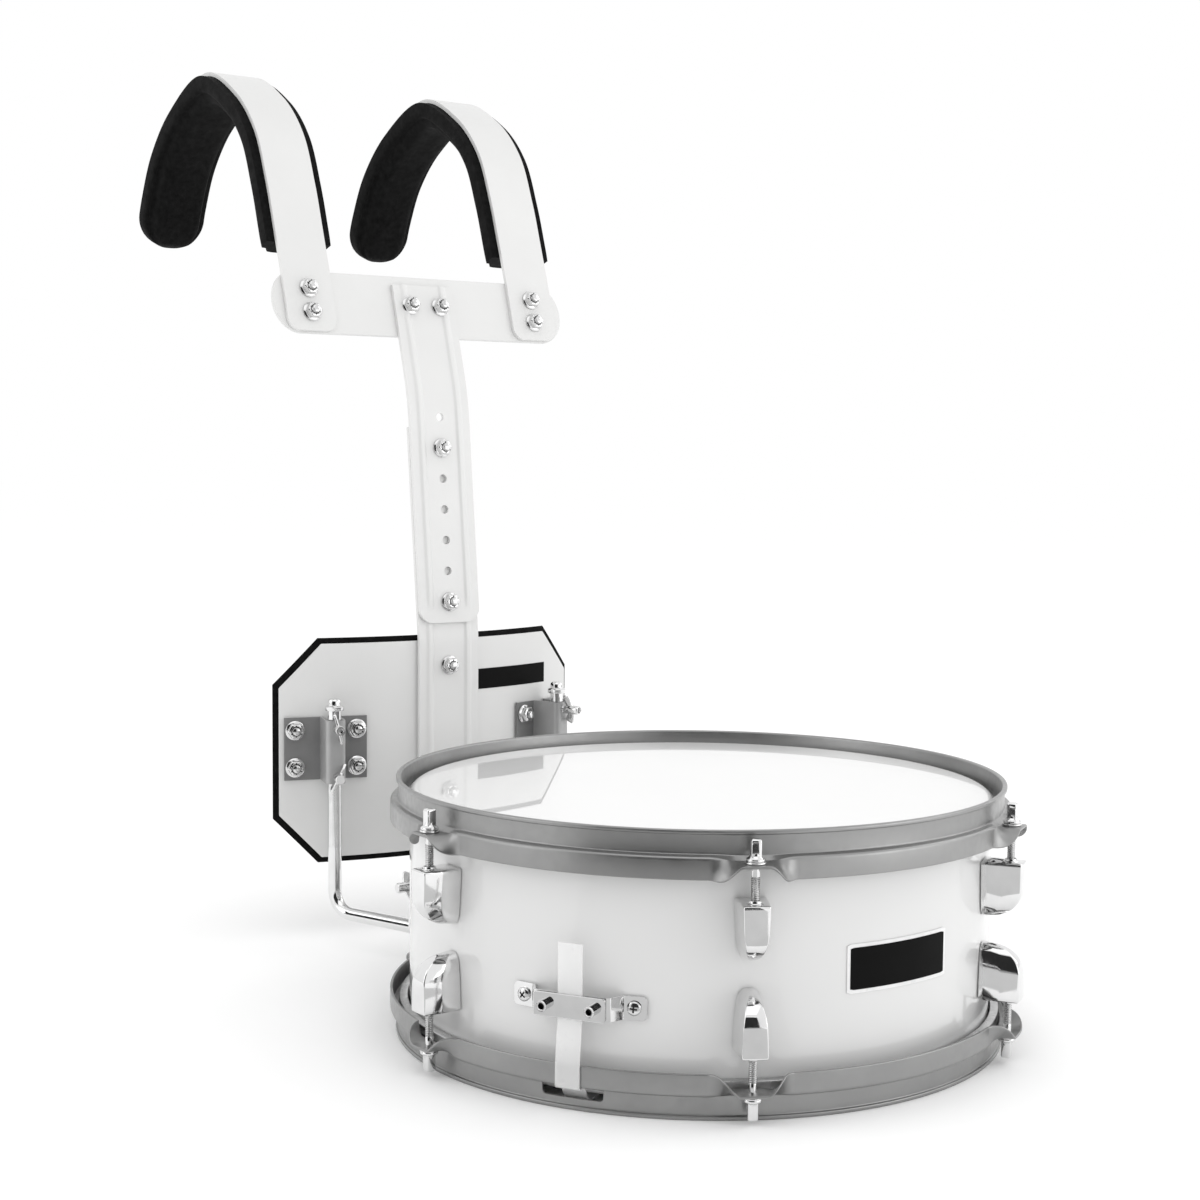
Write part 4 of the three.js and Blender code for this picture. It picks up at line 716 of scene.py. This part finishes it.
# Butt clamp
def bridge_form(line, thickness, half, corner):
    """A bent strip, half its height each side of z = 0, with rounded corners at both ends."""
    gone = spans(line)
    close = [corner * share for share in (0, 0.04, 0.15, 0.35, 0.65, 1)]
    line = points_at(line, gone, close + gone[1:-1] + [gone[-1] - s for s in close[::-1]])
    outline = ribbon(line, thickness)
    rings = []
    for near, far in zip(outline[:len(line)], outline[len(line):][::-1]):
        gone = min(dist(near, line[0]), dist(near, line[-1]), corner)
        high = half - corner + sqrt(max(0.0, corner ** 2 - (corner - gone) ** 2))
        rings.append([(*near, -high), (*far, -high), (*far, high), (*near, high)])
    return loft(rings)


def make_butt():
    sink = lambda x: sqrt(SHELL_R ** 2 - x * x) - SHELL_R + 0.5
    line = rounded([(-39, sink(39)), (-26, sink(26)), (-21, 8), (21, 8), (26, sink(26)), (39, sink(39))],
                   [0, 2.4, 2.0, 2.0, 2.4, 0], 5, False)
    place = lambda form: on_shell(form, BUTT, BUTT_Z)
    piece("butt_bridge", place(bridge_form(line, 1.5, BUTT_HALF, 2.6)), CHROME, "drum", "butt_bracket",
          bevel=0.5, segments=3)
    turn = 32.2 / SHELL_R
    cross_screws("butt_pan_screws", "drum", place, [
        (lambda form, turn=-side * turn: around_drum(form.at(y=1.8), turn), 0.5 * side + 0.4)
        for side in SIDES])
    bar = slab(oblong(-21, 21, -BUTT_HALF, BUTT_HALF, 1.6), 10.4, 11.9, "Y")
    piece("butt_bar", place(bar), CHROME, "drum", "butt_clamp_bar", bevel=0.35)
    screws = join([socket_screw().at(side * 13.9, 11.8) for side in SIDES])
    piece("butt_clamp_screws", place(screws), SCREWS, "drum", crease=30)


# Throw-off: base with cheeks, slide, lever and knurled knob
def make_throw_off():
    place = lambda form: on_shell(form, STRAINER, STRAINER_Z)
    cheeks = lambda outline, x: [slab(outline, side * x - 1, side * x + 1, "X") for side in SIDES]
    plate = slab(oblong(-14, 14, -31, 31, 4, 5), 0.4, 2.4, "Y")
    outline = rounded([(1.4, -22), (14, -22), (17, -16), (17, 24.6), (1.4, 24.6)], [0.5, 4, 4, 1, 0.5], 5)
    shelf = slab(oblong(-12.6, 12.6, 1.4, 17, [0.5, 0.5, 2, 2]), 23.9, 26)
    base = join([plate, *cheeks(outline, 11.6), shelf])
    piece("throw_off_frame", place(base), CHROME, "drum", "throw_off_base", bevel=0.35)
    cross_screws("throw_off_mount_screws", "drum", place, [
        (lambda form, z=side * 27: form.at(0, 2.4, z), 0.6 * side) for side in SIDES], 3.6, 1.7, 1.8)

    outline = oblong(-10.2, 10.2, -14, 9, 1.5)
    jaws = [slab(outline, 10.9, 14.4, "Y"), slab(outline, 3, 9.2, "Y")]
    jaws += [slab(oblong(side * 9.1 - 1.1, side * 9.1 + 1.1, 9, 11), -13, 8) for side in SIDES]
    piece("throw_off_clamp", place(join(jaws)), CHROME, "throw_off_slide", "throw_off_slide",
          bevel=0.35)
    cross_screws("throw_off_clamp_screws", "throw_off_slide", place, [
        (lambda form, x=side * 5.2: form.at(x, 14.3), 0.3 + side * 0.4) for side in SIDES], 3.0, 2.2, 1.6)

    outline = rounded([(5, 21), (5, 9), (12, -18), (22, -18), (22, 21)], [4, 4, 1, 0.6, 3], 5)
    lever = cheeks(outline, 13.9)
    lever.append(slab(oblong(-14.9, 14.9, -18, 7, [1, 1, 3, 3], 5), 20, 22, "Y"))
    lever.append(strip(rounded([(22, -16), (22, -18.2), (28, -32)], [0, 6, 0], 5, False), -2, 11.2))
    lever += [disc(24, (2, -1.4), (2, 1.4)).turn("Y", pi / 2).at(side * 11.9, 10, 16) for side in SIDES]
    piece("throw_off_handle", place(join(lever)), CHROME, "throw_off_lever", "throw_off_lever",
          bevel=0.4)

    knob = disc(96, (2, 9.3), (2, 26.1), (5.9, 26.1), (6.5, 26.7),
                *[(6.5, z) for z in np.linspace(27.2, 32.8, 6)],
                (6.2, 33.4), (5.7, 34), (4.4, 34), (4.1, 33.7))
    radius = np.hypot(knob.points[:, 0], knob.points[:, 1])
    angle = np.arctan2(knob.points[:, 1], knob.points[:, 0])
    flutes = np.where(radius > 6.3, 1 - 0.035 * (1 + np.cos(angle * 24)), 1.0)
    knob.points[:, :2] *= flutes[:, None]
    piece("throw_off_tension_knob", place(knob.at(y=10)), CHROME, "throw_off_knob", "throw_off_knob")


# Hanger rods, sockets and wing screws
def hanger_forms():
    """The plain rod with its tips, and the knurled grip round its upper part."""
    line = rounded([(HANGER_X, HANGER_Y, 160), (HANGER_X, HANGER_Y, 25), (SOCKET_X, SOCKET_Y, 25),
                    (SOCKET_X, SOCKET_Y, 78)], [0, 18, 18, 0], 16, False)
    head = lathe([(0, 159), (HANGER_R, 159), (HANGER_R, 167.4), (6.4, 167.5), (6.8, 168.1), (6.8, 170),
                  (6.3, 170.5), (HANGER_R, 171.2), (HANGER_R, 173.6), (4.4, 174.8), (3.6, 175.6), (2.4, 176),
                  (0, 176)], 40)
    tip = lathe([(0, 77), (HANGER_R, 77), (HANGER_R, 77.8), (3.9, 78.6), (0, 78.6)], 32)

    def knurl(gone, angle):
        wave = max(sin(14 * angle + gone * 3.2), sin(14 * angle - gone * 3.2))
        return 1 + 0.02 * smooth(min(gone, 46 - gone) / 2) * (wave - 0.4)

    grip = tube([(HANGER_X, HANGER_Y, 71 + 0.42 * k) for k in range(110)], HANGER_R, 84, knurl)
    return join([tube(line, HANGER_R, 32), head.at(HANGER_X, HANGER_Y), tip.at(SOCKET_X, SOCKET_Y)]), grip


def wing_form(thread, hollow=False):
    """Along +x: thread, waist, round hub and two paddle blades."""
    collar = thread + 1.2
    hub = [(0, 0), (3.0, 0), (3.4, 0.5), (3.4, 12.3), (3.0, 13)]
    hub += [(2.3, 13), (2.0, 12.6), (2.0, 9.5), (0, 9.5)] if hollow else [(0, 13)]
    hub = lathe(hub, 36).at(z=collar).turn("Y", pi / 2)
    screw = thread_form(3.0, 0, collar + 0.3).turn("Y", pi / 2)
    blade = []
    for k in range(13):
        share = k / 12
        wide = lerp(2.3, 3.25, smooth(share * 1.3))
        thick = lerp(1.1, 0.85, smooth(share * 1.4)) if share <= 0.9 else 1.0
        outline = oblong(-wide, wide, -thick, thick, 0.75)
        blade.append([(x, y, lerp(1.6, 10.2, share)) for x, y in outline])
    for z, keep in ((10.7, 0.92), (10.95, 0.8)):
        blade.append([(x * keep, y * keep * 0.9, z) for x, y, _ in blade[12]])
    blade = loft(blade).turn("Y", -0.45).at(collar + 6.5)
    return join([hub, screw, blade, blade.turn("X", pi)])


def handed(side):
    """Mirrors a form made for the right where side is -1."""
    return lambda form: form if side > 0 else form.grown(x=-1)


def make_hangers():
    plain, grip = hanger_forms()
    azimuth = degrees(atan2(SOCKET_X, -SOCKET_Y))
    out = hypot(SOCKET_X, SOCKET_Y) - SHELL_R
    block = join([slab(oblong(-15, 15, 44, 82, 3, 5), 0.4, 3.4, "Y"),
                  slab(oblong(-5, 5, 44.1, 81.9, 0.8, 3), 2, out - HANGER_R, "Y")])
    sleeve = turned_loop([(5.25, 44.5), (5.75, 44), (7.6, 44), (8.25, 44.7), (8.25, 81.3), (7.6, 82),
                          (5.75, 82), (5.25, 81.5)], 48).at(y=out)
    spots = [(lambda form, turn=turn, z=z: around_drum(form.at(0, 3.3, z), turn), 0)
             for turn in (0.062, -0.062) for z in (50.5, 75.5)]
    for name, side, roll in (("left", -1, 30), ("right", 1, 12)):
        hand = handed(side)
        place = lambda form: hand(on_shell(form, azimuth))
        piece(f"{name}_bent_rod", hand(plain), CHROME, "hangers", f"{name}_hanger_rod", crease=40)
        piece(f"{name}_rod_grip", hand(grip), STEEL, "hangers", crease=60)
        piece(f"{name}_receiver_block", place(block), CHROME, "drum", f"{name}_rod_socket",
              bevel=0.4)
        piece(f"{name}_receiver_sleeve", place(sleeve), CHROME, "drum")
        cross_screws(f"{name}_receiver_screws", "drum", place, spots, 3.6, 1.8, 1.8)
        wing = wing_form(7).turn("X", radians(roll)).at(HANGER_R + WING_CLEAR)
        if side < 0:
            wing = wing.turn("Z", pi)
        body = f"{name}_socket_wing_screw"
        piece(f"{name}_receiver_wing_screw", wing.at(side * SOCKET_X, SOCKET_Y, 57), CHROME, body, body,
              crease=40)


# Belly plate: a curved sheet with cut corners, and foam behind it
def plate_columns(half_wide, low, high, inner, low_in, high_in, count):
    """x with the lowest and highest z of the octagon there."""
    columns = []
    for x in sorted({*np.linspace(-half_wide, half_wide, count).tolist(), -inner, inner}):
        share = max(0.0, (abs(x) - inner) / (half_wide - inner))
        columns.append((x, lerp(low, low_in, share), lerp(high, high_in, share)))
    return columns


def curved_sheet(columns, rows, outer, inner):
    """A closed sheet about the belly plate's axis; inner is a radius or a function of x and z."""
    front, back = [], []
    for x, low, high in columns:
        angle = asin(x / PLATE_R)
        for k in range(rows + 1):
            z = lerp(low, high, k / rows)
            for side, r in ((front, outer), (back, inner(x, z) if callable(inner) else inner)):
                side.append((r * sin(angle), PLATE_AXIS - r * cos(angle), z))
    faces, count = [], len(front)
    number = lambda i, k: i * (rows + 1) + k

    def wall(a, b):
        faces.append((a, b, count + b, count + a))

    for i in range(len(columns) - 1):
        for k in range(rows):
            face = (number(i, k), number(i + 1, k), number(i + 1, k + 1), number(i, k + 1))
            faces.extend([face, tuple(n + count for n in face[::-1])])
        wall(number(i, 0), number(i + 1, 0))
        wall(number(i, rows), number(i + 1, rows))
    for i in (0, len(columns) - 1):
        for k in range(rows):
            wall(number(i, k), number(i, k + 1))
    return Form(front + back, faces)


def make_belly():
    columns = plate_columns(122.5, 60, 212.5, 94.5, 91, 181.5, 49)
    piece("belly_sheet", curved_sheet(columns, 24, PLATE_R, PLATE_R - PLATE_SHEET), POWDER, "carrier",
          "belly_plate", bevel=0.5)
    label = [(x, 174, 189) for x in np.linspace(27, 96, 24)]
    piece("belly_label", curved_sheet(label, 4, PLATE_R + 0.25, PLATE_R + 0.02), BLACK_VINYL, "carrier")


def make_foam():
    """A thin rim round a crowned panel."""
    half_wide, low, high = 126.5, 56, 216.5
    inner, low_in, high_in = 96.9, 88.6, 183.9
    back = PLATE_R - PLATE_SHEET - 0.3
    run, rise = half_wide - inner, low_in - low

    def bulge(x, z):
        past = (abs(x) - inner) * rise
        corners = [(reach * run - past) / hypot(run, rise) for reach in (z - low, high - z)]
        d = max(0.0, min(half_wide - abs(x), z - low, high - z, *corners))
        rim = 4.5 * sqrt(max(0.0, 1 - (1 - min(1, d / 3)) ** 2))
        return back - rim - 6.6 * smooth((d - 8) / 7) - 0.9 * smooth((d - 12) / 50)

    columns = plate_columns(half_wide, low, high, inner, low_in, high_in, 97)
    cushion = piece("belly_cushion", curved_sheet(columns, 64, back, bulge), FOAM, "carrier",
                    "belly_pad", crease=75)


# Rod brackets: pressed hats with a rounded channel
def make_brackets():
    hanger_angle = atan2(HANGER_X, PLATE_AXIS - HANGER_Y)
    hanger_out = hypot(HANGER_X, PLATE_AXIS - HANGER_Y) - PLATE_R
    plate_x = PLATE_R * sin(hanger_angle)
    hollow = HANGER_R + 0.5
    front = hanger_out + hollow
    line = rounded([(-32.5, 0.1), (-hollow, 0.1), (-hollow, front), (hollow, front), (hollow, 0.1),
                    (26.5, 0.1)], [0, 2.6, 3.0, 3.0, 2.6, 0], 8, False)
    # Faces out on the channel (y over 2.2) take finish 1, the lighter painted highlight
    hat = slab(ribbon(line, 1.8), 116.45, 160.95).finished(1, lambda x, y, z: y > 2.2)
    nuts = join([flange_nut(1.9, -2).at(x, 0, z) for x in (-25, 19) for z in (125.5, 151.9)])
    for name, side, rolls in (("left", -1, (-14, 27)), ("right", 1, (16, -20))):
        place = lambda form, z=0: handed(side)(on_plate(form, plate_x, z))
        piece(f"{name}_hat_bracket", place(hat), [BRACKET, PAINTED_HIGHLIGHT_CHANNEL], "carrier", f"{name}_rod_bracket",
              bevel=0.35)
        piece(f"{name}_bracket_nuts", place(nuts), NUTS, "carrier", crease=32)
        for level, z, roll in zip(("upper", "lower"), (155.7, 121.7), rolls):
            wing = wing_form(2.3, hollow=level == "upper").turn("X", radians(roll))
            wing = wing.turn("Z", pi / 2).at(y=hanger_out + HANGER_R + WING_CLEAR)
            body = f"{name}_{level}_wing_screw"
            piece(f"{name}_{level}_bracket_wing", place(wing, z), CHROME, body, body, crease=40)


# Mast: strips with two soft pressed ribs, swept up a bent line
def strip_form(line, half, sheet, reach, ribs=True):
    """A sheet along (y, z) points that rounds off over the length reach at its start."""
    gone = spans(line)
    xs = np.linspace(-1, 1, 61 if ribs else 9)
    rings = []
    for i, (y, z) in enumerate(line):
        away, up = along_at(line, i)
        back = np.array([up, -away])
        wide = 0.55 + 0.45 * sqrt(1 - max(0, 1 - gone[i] / reach) ** 2)
        high = 1.2 * smooth((gone[i] - reach * 0.8) / 12) if ribs else 0
        ring = []
        for order, level in ((xs, 0), (xs[::-1], sheet)):
            for x in order:
                rib = high * smooth((3.0 - abs(abs(x * half) - 16)) / 1.6)
                shift = back * (level - rib)
                ring.append((x * half * wide, y + shift[0], z + shift[1]))
        rings.append(ring)
    return loft(rings)


def dense(line, reach, step=6):
    """Adds points along a line, close ones where its start rounds off."""
    gone = spans(line)
    places = {reach * (1 - cos(k * pi / 24)) for k in range(13)}
    for a, b in zip(gone, gone[1:]):
        count = max(1, int((b - a) / step))
        places |= {s for s in np.linspace(a, b, count + 1)[1:].tolist() if s > reach}
    return points_at(line, gone, sorted(places))


def lean_at(z):
    return max(0, z - BEND_LOW) * tan(LEAN)


def make_mast():
    line = rounded([(LOWER_FRONT + lean_at(z), z) for z in (72, BEND_LOW, MAST_JOIN)], [0, 60, 0], 8,
                   False)
    slots = []
    for z in MAST_BOLTS:
        y = LOWER_FRONT + lean_at(z)
        slots.append(slab(oblong(-3.4, 3.4, z - 9.4, z + 3.4, 3.3, 6), y - 8, y + 8, "Y"))
    piece("mast_lower_strip", strip_form(dense(line, 9), MAST_HALF, MAST_SHEET, 9), POWDER,
          "carrier", "lower_mast", cuts=join(slots), crease=55)
    nuts = join([flange_nut(0, -5.1).turn("Z", pi).at(0, LOWER_FRONT, z) for z in (194, 92)])
    piece("mast_belly_nuts", nuts, NUTS, "carrier", crease=32)

    top = (TOP_Y + 16 * tan(TOP_LEAN), BAR_Z + 16)
    line = rounded([(UPPER_FRONT + lean_at(225), 225), (BEND_HIGH_Y, BEND_HIGH), top], [0, 190, 0], 12,
                   False)
    hole = along_y(disc(28, (3.1, -9), (3.1, 9)))
    holes = [hole.at(0, UPPER_FRONT + lean_at(z), z)
             for z in (MAST_BOLTS[0] + HOLE_STEP * i for i in (1, 2, 3, 4, 6))]
    piece("mast_upper_strip", strip_form(dense(line, 10), MAST_HALF, MAST_SHEET, 10), POWDER,
          "upper_mast", "upper_mast", cuts=join(holes), crease=55)
    nut = flange_nut(0, -6.2, True).turn("Z", pi).turn("X", -LEAN)
    nuts = [nut.at(0, UPPER_FRONT + lean_at(z), z) for z in MAST_BOLTS]
    nut = flange_nut(2.9, -3.3, True).turn("Z", pi)
    nuts += [in_top(nut.at(side * 12.5)) for side in SIDES]
    piece("mast_upper_nuts", join(nuts), NUTS, "upper_mast", crease=32)


def make_crossbar():
    angles = [-pi / 2 + pi * k / 24 for k in range(25)]
    outline = [(side * (101.6 + 20 * cos(a)), side * 23 * sin(a)) for side in (1, -1) for a in angles]
    piece("harness_crossbar", in_top(slab(outline, 0, BAR_SHEET, "Y")), POWDER, "upper_mast", "crossbar",
          bevel=0.6, crease=45, segments=3)


# Shoulder straps and pads
HOOK_LINE = [(17, 54), (28.5, 87), (46, 124), (78, 154), (127, 174), (180, 154), (215, 125), (235, 92),
             (245, 65)]


def spaced_curve(points, count, fineness=1200):
    """Even points on a uniform cardinal curve through the given ones."""
    last = len(points) - 1
    points = np.array([points[0], *points, points[-1]])
    fine = []
    for k in range(fineness + 1):
        p = k / fineness * last
        i = min(int(p), last - 1)
        t = p - i
        p0, p1, p2, p3 = points[i:i + 4]
        v0, v1, gap = (p2 - p0) / 2, (p3 - p1) / 2, p2 - p1
        fine.append((v0 + v1 - 2 * gap) * t ** 3 + (3 * gap - 2 * v0 - v1) * t * t + v0 * t + p1)
    run = spans(fine)
    return points_at(fine, run, np.linspace(0, run[-1], count + 1))


def on_bar(z):
    """A point of the strap's foot, z up the crossbar."""
    return (BAR_FRONT - STRAP_OUT * cos(TOP_LEAN) + z * sin(TOP_LEAN),
            BAR_Z + STRAP_OUT * sin(TOP_LEAN) + z * cos(TOP_LEAN))


def pad_half(width, crown):
    """Half a section: flat under the strap, thin rim, groove and crowned panel."""
    rim = [(1, 0), (1, 0.55), (0.985, 0.86), (0.94, 1), (0.85, 1.03), (0.80, 1.06)]
    panel = [(0.755, 0.45), (0.68, 0.82), (0.55, 0.95), (0.38, 0.99), (0.18, 1)]
    return ([(width * x, PAD_RIM * d) for x, d in rim]
            + [(width * x, lerp(PAD_RIM, crown, d)) for x, d in panel])


def pad_form(curve):
    """The pad's line starts above the bolts and runs past the strap's back end."""
    line = [p for i, p in enumerate(curve) if i > len(curve) / 2 or p[1] > BAR_Z + 40]
    end = np.array(line[-1])
    onward = unit(end - line[-2])
    closing = [sin(k * pi / 30) for k in range(16)]
    keep = [p for p in line if dist(p, end) > 16.5]
    path = keep + [tuple(end + onward * (share * 24 - 16)) for share in closing]
    rings = []
    for i, (y, z) in enumerate(path):
        away, up = along_at(path, i)
        share = closing[i - len(keep)] if i >= len(keep) else 0.0
        taper = max(0.05, sqrt(max(0.0, 1 - share * share)))
        front = smooth(0.55 + i / 6) if i < 3 else 1.0
        half = pad_half(PAD_HALF * taper * (0.97 + 0.03 * front),
                        PAD_RIM + 7.5 * taper * (0.9 + 0.1 * front))
        if taper < 0.6:
            half = [(x, d * (0.45 + 0.55 * taper / 0.6)) for x, d in half]
        section = half + [(0, half[-1][1])] + [(-x, d) for x, d in half[::-1]]
        rings.append([(x, y + up * (d + PAD_OUT), z - away * (d + PAD_OUT)) for x, d in section])
    return loft(rings)


def make_hooks():
    curve = spaced_curve([on_bar(23.3)] + [(TOP_Y + back, BAR_Z + up) for back, up in HOOK_LINE], 110)
    foot = [on_bar(z) for z in (-22, -16, -10, -4, 2, 8, 14, 20)]
    form = strip_form(dense(foot + curve, 9, 99), STRAP_HALF, BAR_SHEET, 9, False)
    pad = pad_form(curve)
    nut = flange_nut(3.1, -3.3, True).turn("Z", pi)
    for name, side in (("left", -1), ("right", 1)):
        x = side * STRAP_X
        piece(f"{name}_hook_strap", form.at(x), POWDER, "upper_mast", f"{name}_shoulder_strap",
              bevel=0.7, crease=45, segments=3)
        nuts = join([in_top(nut.at(x, 0, z)) for z in (9, -8.5)])
        piece(f"{name}_hook_nuts", nuts, NUTS, "upper_mast", crease=32)
        cushion = piece(f"{name}_shoulder_cushion", pad.at(x), FOAM, "upper_mast",
                        f"{name}_shoulder_pad", crease=70)


make_shell()
make_head("snare", lambda form: form)
make_head("batter", over)
make_hoops()
make_lugs()
make_rods()
make_badge()
make_snares()
make_straps()
make_butt()
make_throw_off()
make_hangers()
make_belly()
make_foam()
make_brackets()
make_mast()
make_crossbar()
make_hooks()


# Camera at the photograph's angle
CAMERA_AT = (-0.7681, MIDDLE - 0.9527, 0.3551)
CAMERA_AHEAD = (0.5858, 0.8068, -0.0773)
CAMERA_UP = (0.0387, 0.0675, 0.997)

lens = bpy.data.cameras.new("camera")
lens.lens, lens.sensor_width = 60.525, 36
camera = linked("camera", lens)
ahead = Vector(CAMERA_AHEAD).normalized()
across = ahead.cross(Vector(CAMERA_UP)).normalized()
turn = Matrix((across, across.cross(ahead), -ahead)).transposed().to_4x4()
camera.matrix_world = Matrix.Translation(CAMERA_AT) @ turn
bpy.context.scene.camera = camera


# White studio, in metres: grey cards and grounds that only mirrors see shade the chrome
FLOOR_REACH = 14
FRONT = -47
DRUM = (0, MIDDLE, 0.08)


def staged(name, points, faces, paint, mirrored_only=False):
    """A sheet of the studio, no part of the drum."""
    mesh = bpy.data.meshes.new(name)
    mesh.from_pydata(points, [], faces)
    mesh.materials.append(paint.material)
    thing = linked(name, mesh)
    if mirrored_only:
        thing.visible_camera = thing.visible_shadow = thing.visible_diffuse = False
    return thing


def make_floor():
    paint = Paint("floor_white", colour=1.0, rough=0.6, spec=0.0)
    paint.vary_rough(paint.noise(3, 2), 0.55, 0.7)
    corners = oblong(-FLOOR_REACH, FLOOR_REACH, -FLOOR_REACH, FLOOR_REACH)
    staged("floor", [(x, y, 0) for x, y in corners], [(0, 1, 2, 3)], paint)


def lamp(name, place, size, power):
    data = bpy.data.lights.new(name, "AREA")
    data.shape = "RECTANGLE"
    data.size, data.size_y = size
    data.energy = power
    light = linked(name, data)
    light.location = place
    light.rotation_euler = (Vector(DRUM) - Vector(place)).to_track_quat("-Z", "Y").to_euler()


def card(name, azimuth, distance, half_wide, low, high):
    """An upright dark card facing the drum."""
    corners = oblong(-half_wide, half_wide, low, high)
    paint = Paint(f"{name}_black", colour=0.01, rough=0.9)
    thing = staged(name, [(x, 0, z) for x, z in corners], [(0, 1, 2, 3)], paint, True)
    x, y, _ = polar(distance, azimuth, 0)
    thing.location = (x, y + MIDDLE, 0)
    thing.rotation_euler = (0, 0, radians(azimuth))


def ground(name, azimuth, half_angle, near, far, shade, steps=24, lift=0.004):
    """A grey sector just over the floor."""
    angles = [azimuth + half_angle * (2 * k / steps - 1) for k in range(steps + 1)]
    points = [polar(r, angle, 0) for r in (near, far) for angle in angles]
    faces = [(k, k + 1, k + steps + 2, k + steps + 1) for k in range(steps)]
    paint = Paint(f"{name}_grey", colour=shade, rough=0.9)
    staged(name, points, faces, paint, True).location = (0, MIDDLE, lift)


bpy.context.scene.view_settings.view_transform = "Standard"
world = bpy.context.scene.world = bpy.data.worlds.new("studio")
world.use_nodes = True
world.node_tree.nodes["Background"].inputs["Color"].default_value = (1, 1, 1, 1)
make_floor()
card("card_front", FRONT, 2.2, 1.35, 0.02, 1.9)
card("card_left", -122, 2.0, 0.12, 0.02, 1.2)
card("card_right", 78, 2.0, 0.12, 0.02, 1.0)
ground("far_ground", FRONT, 32, 1.1, 2.15, 0.02)
ground("near_ground", FRONT, 32, 0.26, 1.1, 0.6)
lamp("right_box", (1.9, MIDDLE - 0.5, 1.1), (1.4, 1.8), 7)
lamp("left_box", (-2.0, MIDDLE + 0.9, 1.0), (1.5, 1.6), 7)
lamp("low_box", (0.95, MIDDLE - 1.65, 0.5), (1.4, 0.9), 5)
lamp("over", (-0.7, MIDDLE - 0.9, 2.6), (1.8, 1.8), 4)
